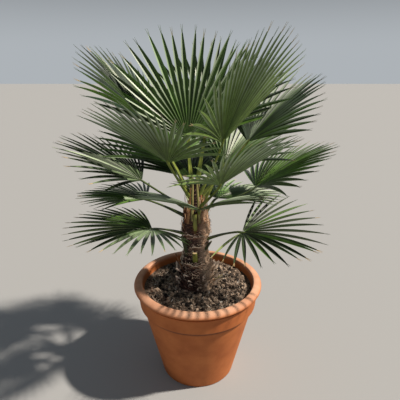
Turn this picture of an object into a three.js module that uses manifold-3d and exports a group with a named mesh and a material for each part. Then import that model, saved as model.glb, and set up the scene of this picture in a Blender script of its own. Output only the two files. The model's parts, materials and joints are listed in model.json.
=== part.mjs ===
// Potted dwarf fan palm, in millimetres with +Z up.
// The origin is the centre of the pot's flat underside, and -Y is the side that faces the viewer.
import * as THREE from "three";
import { mergeVertices } from "three/addons/utils/BufferGeometryUtils.js";
import Module from "manifold-3d";

// Pot: a rolled lip, a collar below it, a cove, and a plain tapering body
const POT_HEIGHT = 368;
const RIM_RADIUS = 225;
const MOUTH_RADIUS = 197;
const LIP_HEIGHT = 20;
const COLLAR_TOP_RADIUS = 212;
const COLLAR_FOOT_RADIUS = 207;
const COLLAR_FOOT_HEIGHT = 288;
const BODY_TOP_RADIUS = 192;
const BODY_TOP_HEIGHT = 262;
const BASE_RADIUS = 133;
const BASE_ROUND = 5;
const COVE_ACROSS_SHARE = 0.35;
const COVE_RISE_SHARE = 0.55;
const LIP_FILLET = 3;
const LIP_START_ANGLE = -60;
const LIP_STEPS = 6;
const MOUTH_CHAMFER = 6;
const FLOOR_THICKNESS = 16;
const FLOOR_RADIUS = 118;
const POT_SIDES = 42;
const DRAIN_COUNT = 3;
const DRAIN_RADIUS = 9;
const DRAIN_RING_RADIUS = 62;
const DRAIN_TURN = 30;
const DRAIN_SIDES = 16;

// Compost, a little higher round the trunk
const COMPOST_EDGE_HEIGHT = 338;
const COMPOST_DISH_SHARE = 0.8;
const COMPOST_DISH_HEIGHT = 341;
const COMPOST_SLOPE_RADIUS = 92;
const COMPOST_SLOPE_HEIGHT = 343;
const COMPOST_SEAT_RADIUS = 68;
const COMPOST_SEAT_HEIGHT = 346;
const COMPOST_WALL_GAP = 0.45;

// Trunk, with the bunch of leaf bases that carries on above its shoulder
const FLARE_RADIUS = 60;
const FLARE_TOP_RADIUS = 52;
const FLARE_TOP_HEIGHT = 374;
const WAIST_RADIUS = 44;
const WAIST_HEIGHT = 432;
const TRUNK_RADIUS = 47;
const TRUNK_LOW_HEIGHT = 517;
const TRUNK_HIGH_HEIGHT = 600;
const SHOULDER_RADIUS = 39.5;
const SHOULDER_HEIGHT = 632;
const HEART_RADIUS = 27;
const HEART_HEIGHT = 654;
const HEART_TOP_RADIUS = 12;
const HEART_TOP_HEIGHT = 728;
const TRUNK_LEAN = -4;
const TRUNK_SIDES = 16;
const TRUNK_RINGS = 15;

// Old leaf bases round the trunk, set a golden angle apart
const BOOT_COUNT = 24;
const BOOT_WIDTH = 30;
const BOOT_THICKNESS = 9;
const BOOT_RISE = 26;
const BOOT_STAND = 5;
const FIRST_BOOT_RISE = 8;
const GOLDEN_ANGLE = 137.5;

// Cut stubs of old leaf stalks: turn round the trunk, foot height, rise, how far the top stands out, width
const STUBS = {
  front: { turn: 266, height: 430, rise: 65, stand: 9, width: 23 },
  left: { turn: 212, height: 456, rise: 86, stand: 6, width: 26 },
  right: { turn: 332, height: 490, rise: 34, stand: 10, width: 20 },
  dry_left: { turn: 212, height: 388, rise: 98, stand: 34, width: 9 },
  dry_back: { turn: 78, height: 410, rise: 60, stand: 16, width: 20 },
};
const STUB_THICKNESS_SHARE = 0.55;
const STUB_TOP_WIDTH_SHARE = 0.62;
const STUB_FOOT_THICKENING = 1.3;
const STUB_TOP_THINNING = 0.9;

// Leaf stalks and blades
const STALK_FOOT_WIDTH = 20;
const STALK_TIP_WIDTH = 10;
const STALK_THICKNESS_SHARE = 0.6;
const STALK_NARROWED_SHARE = 0.625;
const STALK_BEND_SHARE = 0.45;
const STALK_ROOT_SHARE = 0.75;
const STALK_STEPS = 7;
const NECK_LENGTH = 14;
const NECK_FRONT = 12;
const NECK_FRONT_WIDTH_SHARE = 0.5;
const NECK_FRONT_THICKNESS_SHARE = 0.8;
const BLADE_THICKNESS = 4;
const PLEAT_DEPTH = 5;
const CLEFT_SHARE = 0.34;
const LEAST_CLEFT_SHARE = 0.05;
const SHORT_LEAFLET_CLEFT_SHARE = 0.6;
const LEAST_FREE_SHARE = 1.3;
const WIDEST_SHARE = 0.5;
const LEAFLET_FILL = 0.72;
const WIDEST_LEAFLET = 23;
const DROOP_SHARE = 0.08;
const LENGTH_SPREAD = 0.03;
const LENGTH_STEP_BY_LEAFLET = 4.7;
const LENGTH_STEP_BY_FROND = 2.3;

// Room between the pieces: a leaflet that has none is made shorter, by these steps
const GAP = 0.3;
const LEAFLET_CLEARANCE = 1.5;
const SHORTER_LEAFLETS = [1, 0.85, 0.7, 0.55, 0.4, 0.25, 0.12];
const PROBE_SHARES = [0.08, 0.36, 0.68, 1];
const PROBE_TIP_NARROWING = 0.4;
const WELD_DISTANCE = 1e-4;

// Each frond: where its hub is (turn round the trunk, reach from its axis, height), where its blade
// points (heading, pitch, roll), its blade length, leaflets, the angle they fan through, how much
// shorter the side leaflets are, how far the fan is cupped, and where its stalk leaves the trunk.
const FRONDS = {
  top_centre: {
    hub: [120, 58, 852], aim: [76, 78, 23], blade: 394, leaflets: 19, spread: 140, taper: 1,
    cup: 2, foot: [120, 690],
  },
  top_right: {
    hub: [335, 85, 860], aim: [296, 61.5, 29], blade: 400, leaflets: 14, spread: 108, taper: 0.5,
    cup: -6, foot: [325, 682],
  },
  left_front: {
    hub: [222, 118, 810], aim: [255, 46, -12], blade: 315, leaflets: 13, spread: 106, taper: 0.6,
    cup: 0, foot: [225, 668],
  },
  right_front: {
    hub: [311, 106, 738], aim: [285, 43, 15], blade: 300, leaflets: 12, spread: 96, taper: 0.6,
    cup: 0, foot: [305, 645],
  },
  right_upper: {
    hub: [20, 175, 843], aim: [20, 48, 5], blade: 325, leaflets: 15, spread: 146, taper: 0.4,
    cup: 14, foot: [20, 668],
  },
  left_mid: {
    hub: [180, 180, 729], aim: [175, 33, 1], blade: 305, leaflets: 16, spread: 152, taper: 0.75,
    cup: 6, foot: [188, 632],
  },
  right_mid: {
    hub: [3, 190, 703], aim: [12, 33, -10], blade: 302, leaflets: 16, spread: 168, taper: 0.5,
    cup: 6, foot: [358, 634],
  },
  low_right: {
    hub: [338, 156, 572], aim: [333, 6, 8], blade: 270, leaflets: 18, spread: 192, taper: 0.78,
    cup: 14, foot: [338, 525],
  },
  low_left: {
    hub: [202, 158, 585], aim: [215, 10, 1], blade: 280, leaflets: 19, spread: 212, taper: 1.1,
    cup: 8, foot: [200, 545],
  },
  up_left: {
    hub: [155, 175, 905], aim: [168, 55, -2], blade: 328, leaflets: 14, spread: 118, taper: 0.5,
    cup: 2, foot: [160, 676],
  },
  left_back: {
    hub: [158, 195, 636], aim: [165, 8, 6], blade: 240, leaflets: 13, spread: 150, taper: 0.45,
    cup: 6, foot: [155, 596],
  },
  front: {
    hub: [275, 64, 655], aim: [265, 14, 0], blade: 230, leaflets: 16, spread: 216, taper: 0.2,
    cup: 18, foot: [268, 546],
  },
  top_back: {
    hub: [72, 95, 885], aim: [65, 64, 0], blade: 340, leaflets: 14, spread: 136, taper: 0.45,
    cup: 8, foot: [70, 696],
  },
  back_left: {
    hub: [125, 150, 752], aim: [125, 38, 0], blade: 300, leaflets: 15, spread: 156, taper: 0.5,
    cup: 10, foot: [125, 640],
  },
  back_right: {
    hub: [55, 165, 745], aim: [50, 36, 0], blade: 300, leaflets: 15, spread: 156, taper: 0.5,
    cup: 10, foot: [50, 630],
  },
  back: {
    hub: [98, 150, 690], aim: [98, 20, 0], blade: 300, leaflets: 15, spread: 156, taper: 0.5,
    cup: 10, foot: [98, 606],
  },
  low_back: {
    hub: [58, 128, 628], aim: [58, 2, 0], blade: 260, leaflets: 16, spread: 180, taper: 0.6,
    cup: 8, foot: [58, 566],
  },
};

const UP = new THREE.Vector3(0, 0, 1);
const rad = THREE.MathUtils.degToRad;
const lerp = THREE.MathUtils.lerp;

const wasm = await Module();
wasm.setup();

const MATERIALS = {
  terracotta: new THREE.MeshStandardMaterial({ color: 0xb3663f, roughness: 0.85 }),
  compost: new THREE.MeshStandardMaterial({ color: 0x3b2e26, roughness: 1 }),
  fibre: new THREE.MeshStandardMaterial({ color: 0x4f3626, roughness: 0.95 }),
  stalk: new THREE.MeshStandardMaterial({ color: 0x74823a, roughness: 0.6 }),
  leaf: new THREE.MeshStandardMaterial({ color: 0x3f6138, roughness: 0.5 }),
};

const palm = new THREE.Group();

function addPart(name, solid, material) {
  const mesh = solid.getMesh();
  const geometry = new THREE.BufferGeometry();
  geometry.setAttribute("position", new THREE.BufferAttribute(mesh.vertProperties, 3));
  geometry.setIndex(new THREE.BufferAttribute(mesh.triVerts, 1));
  geometry.computeVertexNormals();
  const part = new THREE.Mesh(geometry, material);
  part.name = name;
  palm.add(part);
}

// A closed geometry as a solid that can be joined and cut
function solidOf(geometry) {
  const bare = geometry.clone();
  bare.deleteAttribute("normal");
  bare.deleteAttribute("uv");
  const merged = mergeVertices(bare, WELD_DISTANCE);
  return new wasm.Manifold(
    new wasm.Mesh({
      numProp: 3,
      vertProperties: merged.attributes.position.array,
      triVerts: new Uint32Array(merged.index.array),
    }),
  );
}

function solidFrom(points, triangles) {
  const geometry = new THREE.BufferGeometry().setFromPoints(points);
  geometry.setIndex(triangles);
  return solidOf(geometry);
}

// A turned solid: its outline runs from the axis at the bottom to the axis at the top
function turned(outline, sides) {
  const points = outline.map(([radius, height]) => new THREE.Vector2(radius, height));
  const lathe = new THREE.LatheGeometry(points, sides);
  lathe.rotateX(Math.PI / 2);
  return solidOf(lathe);
}

// A place given by its turn round the axis, where 270 faces the viewer
function aroundAxis(turn, radius, height) {
  return new THREE.Vector3(radius * Math.cos(rad(turn)), radius * Math.sin(rad(turn)), height);
}

// The upper side of what grows out of the trunk: it faces the axis and the sky
function inwardAndUp(turn) {
  return aroundAxis(turn, -1, 1).normalize();
}

function largestPiece(solid) {
  const pieces = solid.decompose();
  return pieces.reduce((best, piece) => (piece.volume() > best.volume() ? piece : best));
}

function boxesMeet(a, b) {
  const one = a.boundingBox();
  const two = b.boundingBox();
  return [0, 1, 2].every((k) => one.min[k] <= two.max[k] && two.min[k] <= one.max[k]);
}

function cutClear(solid, obstacles) {
  const near = obstacles.filter((obstacle) => boxesMeet(solid, obstacle));
  const cut = near.reduce((left, obstacle) => left.subtract(obstacle), solid);
  return near.length ? largestPiece(cut) : solid;
}

// Pot and compost

function potOutline() {
  const lip = LIP_HEIGHT / 2;
  const lipCentre = POT_HEIGHT - lip;
  const outline = [
    [0, 0],
    [BASE_RADIUS - BASE_ROUND, 0],
    [BASE_RADIUS, BASE_ROUND],
    [BODY_TOP_RADIUS, BODY_TOP_HEIGHT],
    [
      lerp(BODY_TOP_RADIUS, COLLAR_FOOT_RADIUS, COVE_ACROSS_SHARE),
      lerp(BODY_TOP_HEIGHT, COLLAR_FOOT_HEIGHT, COVE_RISE_SHARE),
    ],
    [COLLAR_FOOT_RADIUS, COLLAR_FOOT_HEIGHT],
    [COLLAR_TOP_RADIUS, POT_HEIGHT - LIP_HEIGHT - LIP_FILLET],
    [COLLAR_TOP_RADIUS + LIP_FILLET, POT_HEIGHT - LIP_HEIGHT],
  ];
  for (let step = 0; step <= LIP_STEPS; step++) {
    const angle = rad(lerp(LIP_START_ANGLE, 90, step / LIP_STEPS));
    outline.push([RIM_RADIUS - lip + lip * Math.cos(angle), lipCentre + lip * Math.sin(angle)]);
  }
  outline.push([MOUTH_RADIUS + MOUTH_CHAMFER, POT_HEIGHT]);
  outline.push([MOUTH_RADIUS, POT_HEIGHT - MOUTH_CHAMFER]);
  outline.push([FLOOR_RADIUS, FLOOR_THICKNESS]);
  outline.push([0, FLOOR_THICKNESS]);
  return outline;
}

function makePot() {
  let pot = turned(potOutline(), POT_SIDES);
  for (let index = 0; index < DRAIN_COUNT; index++) {
    const length = 3 * FLOOR_THICKNESS;
    const drain = new THREE.CylinderGeometry(DRAIN_RADIUS, DRAIN_RADIUS, length, DRAIN_SIDES);
    drain.rotateX(Math.PI / 2);
    const centre = aroundAxis((360 / DRAIN_COUNT) * index + DRAIN_TURN, DRAIN_RING_RADIUS, 0);
    drain.translate(centre.x, centre.y, centre.z);
    pot = pot.subtract(solidOf(drain));
  }
  return pot;
}

function innerWallRadius(height) {
  const share = (height - FLOOR_THICKNESS) / (POT_HEIGHT - MOUTH_CHAMFER - FLOOR_THICKNESS);
  return lerp(FLOOR_RADIUS, MOUTH_RADIUS, share);
}

function makeCompost() {
  const bottom = FLOOR_THICKNESS + GAP;
  const edgeRadius = innerWallRadius(COMPOST_EDGE_HEIGHT);
  return turned(
    [
      [0, bottom],
      [innerWallRadius(bottom) - COMPOST_WALL_GAP, bottom],
      [edgeRadius - COMPOST_WALL_GAP, COMPOST_EDGE_HEIGHT],
      [edgeRadius * COMPOST_DISH_SHARE, COMPOST_DISH_HEIGHT],
      [COMPOST_SLOPE_RADIUS, COMPOST_SLOPE_HEIGHT],
      [COMPOST_SEAT_RADIUS, COMPOST_SEAT_HEIGHT],
      [0, COMPOST_SEAT_HEIGHT],
    ],
    POT_SIDES,
  );
}

// Trunk

const TRUNK_FOOT = COMPOST_SEAT_HEIGHT + GAP;
const TRUNK_PROFILE = new THREE.SplineCurve([
  new THREE.Vector2(TRUNK_FOOT, FLARE_RADIUS),
  new THREE.Vector2(FLARE_TOP_HEIGHT, FLARE_TOP_RADIUS),
  new THREE.Vector2(WAIST_HEIGHT, WAIST_RADIUS),
  new THREE.Vector2(TRUNK_LOW_HEIGHT, TRUNK_RADIUS),
  new THREE.Vector2(TRUNK_HIGH_HEIGHT, TRUNK_RADIUS),
  new THREE.Vector2(SHOULDER_HEIGHT, SHOULDER_RADIUS),
  new THREE.Vector2(HEART_HEIGHT, HEART_RADIUS),
  new THREE.Vector2(HEART_TOP_HEIGHT, HEART_TOP_RADIUS),
]);
const TRUNK_PROFILE_POINTS = TRUNK_PROFILE.getPoints(TRUNK_RINGS);

function trunkRadius(height) {
  const above = TRUNK_PROFILE_POINTS.findIndex((point) => point.x >= height);
  if (above < 1) {
    return above ? HEART_TOP_RADIUS : FLARE_RADIUS;
  }
  const low = TRUNK_PROFILE_POINTS[above - 1];
  const high = TRUNK_PROFILE_POINTS[above];
  return lerp(low.y, high.y, (height - low.x) / (high.x - low.x));
}

function trunkCentre(height) {
  const share = (height - TRUNK_FOOT) / (HEART_TOP_HEIGHT - TRUNK_FOOT);
  return new THREE.Vector3(TRUNK_LEAN * (1 + share), 0, 0);
}

// A place given by its turn round the leaning trunk
function onTrunk(turn, radius, height) {
  return aroundAxis(turn, radius, height).add(trunkCentre(height));
}

// A limb along a curve: flat above and round below, with its size and its upper side set along it.
// The section is in halves of the limb's width and thickness.
const LIMB_SECTION = [
  [1, 0.55],
  [-1, 0.55],
  [-0.85, -0.3],
  [-0.35, -1],
  [0.35, -1],
  [0.85, -0.3],
];

function limb(curve, steps, widthAt, thicknessAt, upAt) {
  const points = [];
  const triangles = [];
  const sides = LIMB_SECTION.length;
  for (let step = 0; step <= steps; step++) {
    const share = step / steps;
    const along = curve.getTangent(share);
    const side = new THREE.Vector3().crossVectors(upAt(share), along).normalize();
    const up = new THREE.Vector3().crossVectors(along, side);
    for (const [across, lift] of LIMB_SECTION) {
      const point = curve.getPoint(share);
      point.addScaledVector(side, (across * widthAt(share)) / 2);
      point.addScaledVector(up, (lift * thicknessAt(share)) / 2);
      points.push(point);
    }
  }
  for (let step = 0; step < steps; step++) {
    for (let corner = 0; corner < sides; corner++) {
      const here = step * sides + corner;
      const next = step * sides + ((corner + 1) % sides);
      triangles.push(here, next, here + sides, next, next + sides, here + sides);
    }
  }
  const last = steps * sides;
  for (let corner = 1; corner < sides - 1; corner++) {
    triangles.push(0, corner + 1, corner);
    triangles.push(last, last + corner, last + corner + 1);
  }
  return solidFrom(points, triangles);
}

// A stub on the trunk: its foot is sunk in, and its top stands out
function stub({ turn, height, rise, stand, width }, thickness, grow) {
  const foot = onTrunk(turn, trunkRadius(height) - thickness, height);
  const top = onTrunk(turn, trunkRadius(height + rise) + stand, height + rise);
  return limb(
    new THREE.LineCurve3(foot, top),
    1,
    (share) => width * lerp(1, STUB_TOP_WIDTH_SHARE, share) + 2 * grow,
    (share) => thickness * lerp(STUB_FOOT_THICKENING, STUB_TOP_THINNING, share) + 2 * grow,
    () => inwardAndUp(turn),
  );
}

function makeTrunk(grow) {
  const outline = TRUNK_PROFILE_POINTS.map((point) => [point.y + grow, point.x]);
  outline.unshift([0, TRUNK_FOOT]);
  outline.push([0, HEART_TOP_HEIGHT + grow]);
  const stem = turned(outline, TRUNK_SIDES).warp((vertex) => {
    vertex[0] += trunkCentre(vertex[2]).x;
  });
  const stubs = Object.values(STUBS).map((place) => stub(place, place.width * STUB_THICKNESS_SHARE, grow));
  for (let index = 0; index < BOOT_COUNT; index++) {
    const share = index / (BOOT_COUNT - 1);
    const height = lerp(TRUNK_FOOT + FIRST_BOOT_RISE, SHOULDER_HEIGHT - BOOT_RISE, share);
    const boot = { height, rise: BOOT_RISE, stand: BOOT_STAND, width: BOOT_WIDTH };
    stubs.push(stub({ turn: index * GOLDEN_ANGLE, ...boot }, BOOT_THICKNESS, grow));
  }
  return stubs.reduce((trunk, piece) => trunk.add(piece), stem);
}

// Fronds

// The blade's forward direction, its upper side, and the direction across it
function bladeAxes([heading, pitch, roll]) {
  const level = Math.cos(rad(pitch));
  const forward = new THREE.Vector3(
    Math.cos(rad(heading)) * level,
    Math.sin(rad(heading)) * level,
    Math.sin(rad(pitch)),
  );
  const upper = UP.clone().addScaledVector(forward, -forward.z).normalize();
  upper.applyAxisAngle(forward, rad(roll));
  const across = new THREE.Vector3().crossVectors(forward, upper);
  return { forward, upper, across };
}

// Everything that the parts of one frond are worked out from
function layOut(name, frond, order) {
  const axes = bladeAxes(frond.aim);
  const hub = aroundAxis(...frond.hub);
  const [footTurn, footHeight] = frond.foot;
  const foot = onTrunk(footTurn, trunkRadius(footHeight) * STALK_ROOT_SHARE, footHeight);
  const tip = hub.clone().addScaledVector(axes.forward, -NECK_LENGTH);
  const length = foot.distanceTo(tip);
  const arrival = tip.clone().sub(foot).divideScalar(length).add(axes.forward).normalize();
  const bend = tip.clone().addScaledVector(arrival, -STALK_BEND_SHARE * length);
  const stalk = new THREE.QuadraticBezierCurve3(foot, bend, tip);
  return { name, order, ...frond, ...axes, hub, stalk, footUp: inwardAndUp(footTurn) };
}

function stalkSolid(frond, grow) {
  const widthAt = (share) => lerp(STALK_FOOT_WIDTH, STALK_TIP_WIDTH, Math.min(1, share));
  return limb(
    frond.stalk,
    STALK_STEPS,
    (share) => widthAt(share / STALK_NARROWED_SHARE) + 2 * grow,
    (share) => widthAt(share) * STALK_THICKNESS_SHARE + 2 * grow,
    (share) => frond.footUp.clone().lerp(frond.upper, share),
  );
}

// The angle of a place in the fan, counted in leaflets from its first edge
function leafletAngle(frond, place) {
  return rad(frond.spread) * (place / frond.leaflets - 0.5);
}

function leafletLength(frond, index) {
  const angle = leafletAngle(frond, index + 0.5);
  const shorter = 1 - frond.taper * (angle / Math.PI) ** 2;
  const wave = Math.sin(LENGTH_STEP_BY_LEAFLET * index + LENGTH_STEP_BY_FROND * frond.order);
  return frond.blade * shorter * (1 + LENGTH_SPREAD * wave);
}

// A point of the blade at an angle from its middle, a distance from the hub, and off its surface
function bladePoint(frond, angle, distance, aside, lift) {
  const cup = rad(frond.cup);
  const turn = Math.sin(angle);
  const along = frond.forward.clone().multiplyScalar(Math.cos(angle));
  along.addScaledVector(frond.across, turn * Math.cos(cup));
  along.addScaledVector(frond.upper, Math.abs(turn) * Math.sin(cup));
  const sideways = frond.across.clone().multiplyScalar(Math.cos(angle) * Math.cos(cup));
  sideways.addScaledVector(frond.forward, -turn).normalize();
  const upright = new THREE.Vector3().crossVectors(sideways, along).normalize();
  const share = distance / frond.blade;
  return frond.hub
    .clone()
    .addScaledVector(along, distance)
    .addScaledVector(sideways, aside)
    .addScaledVector(upright, lift)
    .addScaledVector(UP, -DROOP_SHARE * frond.blade * share * share);
}

function leafletWidth(frond, distance) {
  const room = (rad(frond.spread) / frond.leaflets) * distance;
  return Math.min(room * LEAFLET_FILL, WIDEST_LEAFLET);
}

// A leaflet alone, a little fat, to test whether its place is free
function leafletProbe(frond, index, length) {
  const angle = leafletAngle(frond, index + 0.5);
  const points = PROBE_SHARES.map((share) => bladePoint(frond, angle, length * share, 0, 0));
  const widest = leafletWidth(frond, frond.blade * WIDEST_SHARE) + 2 * LEAFLET_CLEARANCE;
  const widthAt = (share) => {
    const room = (rad(frond.spread) / frond.leaflets) * lerp(PROBE_SHARES[0], 1, share) * length;
    return Math.min(widest, room + BLADE_THICKNESS);
  };
  return limb(
    new THREE.CatmullRomCurve3(points),
    PROBE_SHARES.length - 1,
    (share) => widthAt(share) * (share < 1 ? 1 : PROBE_TIP_NARROWING),
    () => BLADE_THICKNESS + PLEAT_DEPTH + 2 * LEAFLET_CLEARANCE,
    () => frond.upper,
  );
}

function freeLength(frond, index, obstacles) {
  const full = leafletLength(frond, index);
  const share = SHORTER_LEAFLETS.find((candidate) => {
    const probe = leafletProbe(frond, index, full * candidate);
    return obstacles.every((solid) => !boxesMeet(probe, solid) || probe.intersect(solid).isEmpty());
  });
  return full * (share ?? 0);
}

// The pleated blade: each leaflet is free beyond the cleft, with raised edges and a sunk rib
function bladeSolid(frond, obstacles) {
  const top = [];
  const half = BLADE_THICKNESS / 2;
  const addPoint = (angle, distance, aside, lift) => {
    top.push([angle, distance, aside, lift]);
    return top.length - 1;
  };
  const lengths = [];
  for (let index = 0; index < frond.leaflets; index++) {
    lengths.push(freeLength(frond, index, obstacles));
  }
  const cleft = frond.blade * CLEFT_SHARE;
  const least = frond.blade * LEAST_CLEFT_SHARE;
  const cleftAt = (length) => Math.max(least, Math.min(cleft, length * SHORT_LEAFLET_CLEFT_SHARE));
  const faces = [];
  const hub = addPoint(0, 0, 0, 0);
  const outline = [hub];
  const cleftPoint = (place) => {
    const before = lengths[Math.max(0, place - 1)];
    const after = lengths[Math.min(frond.leaflets - 1, place)];
    return addPoint(leafletAngle(frond, place), cleftAt(Math.min(before, after)), 0, PLEAT_DEPTH / 2);
  };
  let left = cleftPoint(0);
  outline.push(left);
  lengths.forEach((length, index) => {
    const angle = leafletAngle(frond, index + 0.5);
    const inner = cleftAt(length);
    const rib = addPoint(angle, inner, 0, -PLEAT_DEPTH / 2);
    const right = cleftPoint(index + 1);
    faces.push([hub, left, rib], [hub, rib, right]);
    if (length > inner * LEAST_FREE_SHARE) {
      const middle = lerp(inner, length, (WIDEST_SHARE - CLEFT_SHARE) / (1 - CLEFT_SHARE));
      const reach = leafletWidth(frond, middle) / 2;
      const leftEdge = addPoint(angle, middle, -reach, PLEAT_DEPTH / 2);
      const rightEdge = addPoint(angle, middle, reach, PLEAT_DEPTH / 2);
      const middleRib = addPoint(angle, middle, 0, -PLEAT_DEPTH / 2);
      const tip = addPoint(angle, length, 0, 0);
      faces.push([left, leftEdge, middleRib], [left, middleRib, rib]);
      faces.push([rib, middleRib, rightEdge], [rib, rightEdge, right]);
      faces.push([leftEdge, tip, middleRib], [middleRib, tip, rightEdge]);
      outline.push(leftEdge, tip, rightEdge);
    } else {
      outline.push(rib);
    }
    outline.push(right);
    left = right;
  });
  const count = top.length;
  const points = top.map(([angle, distance, aside, lift]) =>
    bladePoint(frond, angle, distance, aside, lift + half),
  );
  top.forEach(([angle, distance, aside, lift]) => {
    points.push(bladePoint(frond, angle, distance, aside, lift - half));
  });
  const triangles = [];
  faces.forEach(([a, b, c]) => {
    triangles.push(a, c, b);
    triangles.push(a + count, b + count, c + count);
  });
  outline.forEach((here, index) => {
    const next = outline[(index + 1) % outline.length];
    triangles.push(here, next, next + count);
    triangles.push(here, next + count, here + count);
  });
  return solidFrom(points, triangles);
}

// The hub of the blade, where it joins its stalk
function neckSolid(frond, grow) {
  const back = frond.hub.clone().addScaledVector(frond.forward, -NECK_LENGTH - grow);
  const front = frond.hub.clone().addScaledVector(frond.forward, NECK_FRONT);
  const neckThickness = STALK_TIP_WIDTH * STALK_THICKNESS_SHARE;
  return limb(
    new THREE.LineCurve3(back, front),
    1,
    (share) => STALK_TIP_WIDTH * lerp(1, NECK_FRONT_WIDTH_SHARE, share) + 2 * grow,
    (share) => neckThickness * lerp(1, NECK_FRONT_THICKNESS_SHARE, share) + 2 * grow,
    () => frond.upper,
  );
}

addPart("pot", makePot(), MATERIALS.terracotta);
addPart("compost", makeCompost(), MATERIALS.compost);
const trunk = makeTrunk(0);
addPart("trunk", trunk, MATERIALS.fibre);

const fronds = Object.entries(FRONDS).map(([name, frond], order) => layOut(name, frond, order));
const cutters = [makeTrunk(GAP)];
const obstacles = [makePot(), makeCompost(), makeTrunk(GAP)];
for (const frond of fronds) {
  const stalk = cutClear(stalkSolid(frond, 0), [...cutters, neckSolid(frond, GAP)]);
  addPart("stalk_" + frond.name, stalk, MATERIALS.stalk);
  cutters.push(stalkSolid(frond, GAP));
  obstacles.push(stalk);
}
for (const frond of fronds) {
  const blade = bladeSolid(frond, obstacles).add(neckSolid(frond, 0));
  addPart("frond_" + frond.name, blade, MATERIALS.leaf);
  obstacles.push(blade);
}

export default palm;
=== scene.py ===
# %% [markdown]
# A potted dwarf fan palm
#
# A young fan palm stands in a round clay patio pot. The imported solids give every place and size, and this
# lesson gives them their finish: thrown terracotta, compost with bark chips, a trunk wrapped in old leaf
# bases and brown fibre, and fan leaves whose leaflets are each folded along the rib. The frame comes first,
# because every piece is worked out from it.

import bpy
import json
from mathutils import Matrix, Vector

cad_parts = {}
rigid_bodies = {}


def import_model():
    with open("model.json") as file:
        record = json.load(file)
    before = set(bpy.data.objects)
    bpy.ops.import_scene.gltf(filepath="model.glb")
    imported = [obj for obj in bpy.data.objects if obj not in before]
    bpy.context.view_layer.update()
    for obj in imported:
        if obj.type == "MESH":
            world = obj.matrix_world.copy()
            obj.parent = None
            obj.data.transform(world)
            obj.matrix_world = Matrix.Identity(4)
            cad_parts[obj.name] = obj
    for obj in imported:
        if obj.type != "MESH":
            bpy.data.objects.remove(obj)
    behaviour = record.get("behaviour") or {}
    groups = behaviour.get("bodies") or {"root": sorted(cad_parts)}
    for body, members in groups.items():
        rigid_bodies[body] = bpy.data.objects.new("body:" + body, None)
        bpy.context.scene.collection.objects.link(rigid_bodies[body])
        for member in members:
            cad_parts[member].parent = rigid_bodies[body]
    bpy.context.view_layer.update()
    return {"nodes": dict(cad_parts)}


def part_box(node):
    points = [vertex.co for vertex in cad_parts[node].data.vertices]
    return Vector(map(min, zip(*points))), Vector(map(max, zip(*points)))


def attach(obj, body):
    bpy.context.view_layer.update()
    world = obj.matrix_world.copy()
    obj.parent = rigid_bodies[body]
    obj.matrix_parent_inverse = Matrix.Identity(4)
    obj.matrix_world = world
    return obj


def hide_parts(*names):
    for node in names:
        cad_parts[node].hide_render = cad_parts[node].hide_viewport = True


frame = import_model()
print("solids in the frame:", len(frame["nodes"]))

# %% The modules
import json
import math

import bmesh
import bpy
import numpy as np
from mathutils import Vector, noise
from mathutils.bvhtree import BVHTree

print("Blender", bpy.app.version_string)

# %% [markdown]
# Camera, floor and light
#
# The photograph looks down at the plant from about 1.1 metres up. A pinhole camera fitted to the rim,
# collar and base of the pot gives the eye and its pitch, so the same camera is set here. The light
# is one sun, half way up on the right, as the shading of the pot shows. A pale sky, brighter towards the
# horizon, fills the shadows and lays a cool sheen on the waxy leaves.

# %% Camera
EYE = (0.008, -1.236, 1.122)
CAMERA_PITCH = math.radians(69.6)
LENS = 36
SENSOR = 36
scene = bpy.context.scene


def linked(name, data):
    """A new object in the scene."""
    made = bpy.data.objects.new(name, data)
    scene.collection.objects.link(made)
    return made


camera_data = bpy.data.cameras.new("camera")
camera_data.lens = LENS
camera_data.sensor_width = SENSOR
camera = linked("camera", camera_data)
camera.location = EYE
camera.rotation_euler = (CAMERA_PITCH, 0, 0)
scene.camera = camera
print("camera at", EYE, "m, lens", LENS, "mm")

# %% One function that adds a node
def add(tree, kind, settings=None, inputs=None):
    """Adds a node with its settings, and gives each named input a value or a link.

    A node that is given as an input stands for its first output.
    """
    node = tree.nodes.new(kind)
    for name, value in (settings or {}).items():
        setattr(node, name, value)
    for name, value in (inputs or {}).items():
        if isinstance(value, bpy.types.Node):
            value = value.outputs[0]
        if isinstance(value, bpy.types.NodeSocket):
            tree.links.new(value, node.inputs[name])
        else:
            node.inputs[name].default_value = value
    return node

# %% Colours and materials
# Of a Mix node for colours, inputs 6 and 7 are the two colours, and output 2 is the mixed one.
def linear(hex_colour):
    """Turns an sRGB hex colour into the linear colour that the shaders take."""
    channels = [int(hex_colour[place:place + 2], 16) / 255 for place in (1, 3, 5)]
    return [c / 12.92 if c <= 0.04045 else ((c + 0.055) / 1.055) ** 2.4 for c in channels] + [1]


def set_stops(ramp, first, last, *between):
    """Gives a colour ramp its stops, each a position and a hex colour."""
    elements = ramp.color_ramp.elements
    for element, (position, hex_colour) in zip((elements[0], elements[1]), (first, last)):
        element.position = position
        element.color = linear(hex_colour)
    for position, hex_colour in between:
        elements.new(position).color = linear(hex_colour)


def new_material(name):
    """An empty node material and its tree."""
    material = bpy.data.materials.new(name)
    material.use_nodes = True
    material.node_tree.nodes.clear()
    return material, material.node_tree


print("half grey is", round(linear("#808080")[0], 3), "when linear")

# %% Sky
SKY_STRENGTH = 0.27
HORIZON_GLOW = 2.1
GLOW_TOP = math.sin(math.radians(13))

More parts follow.
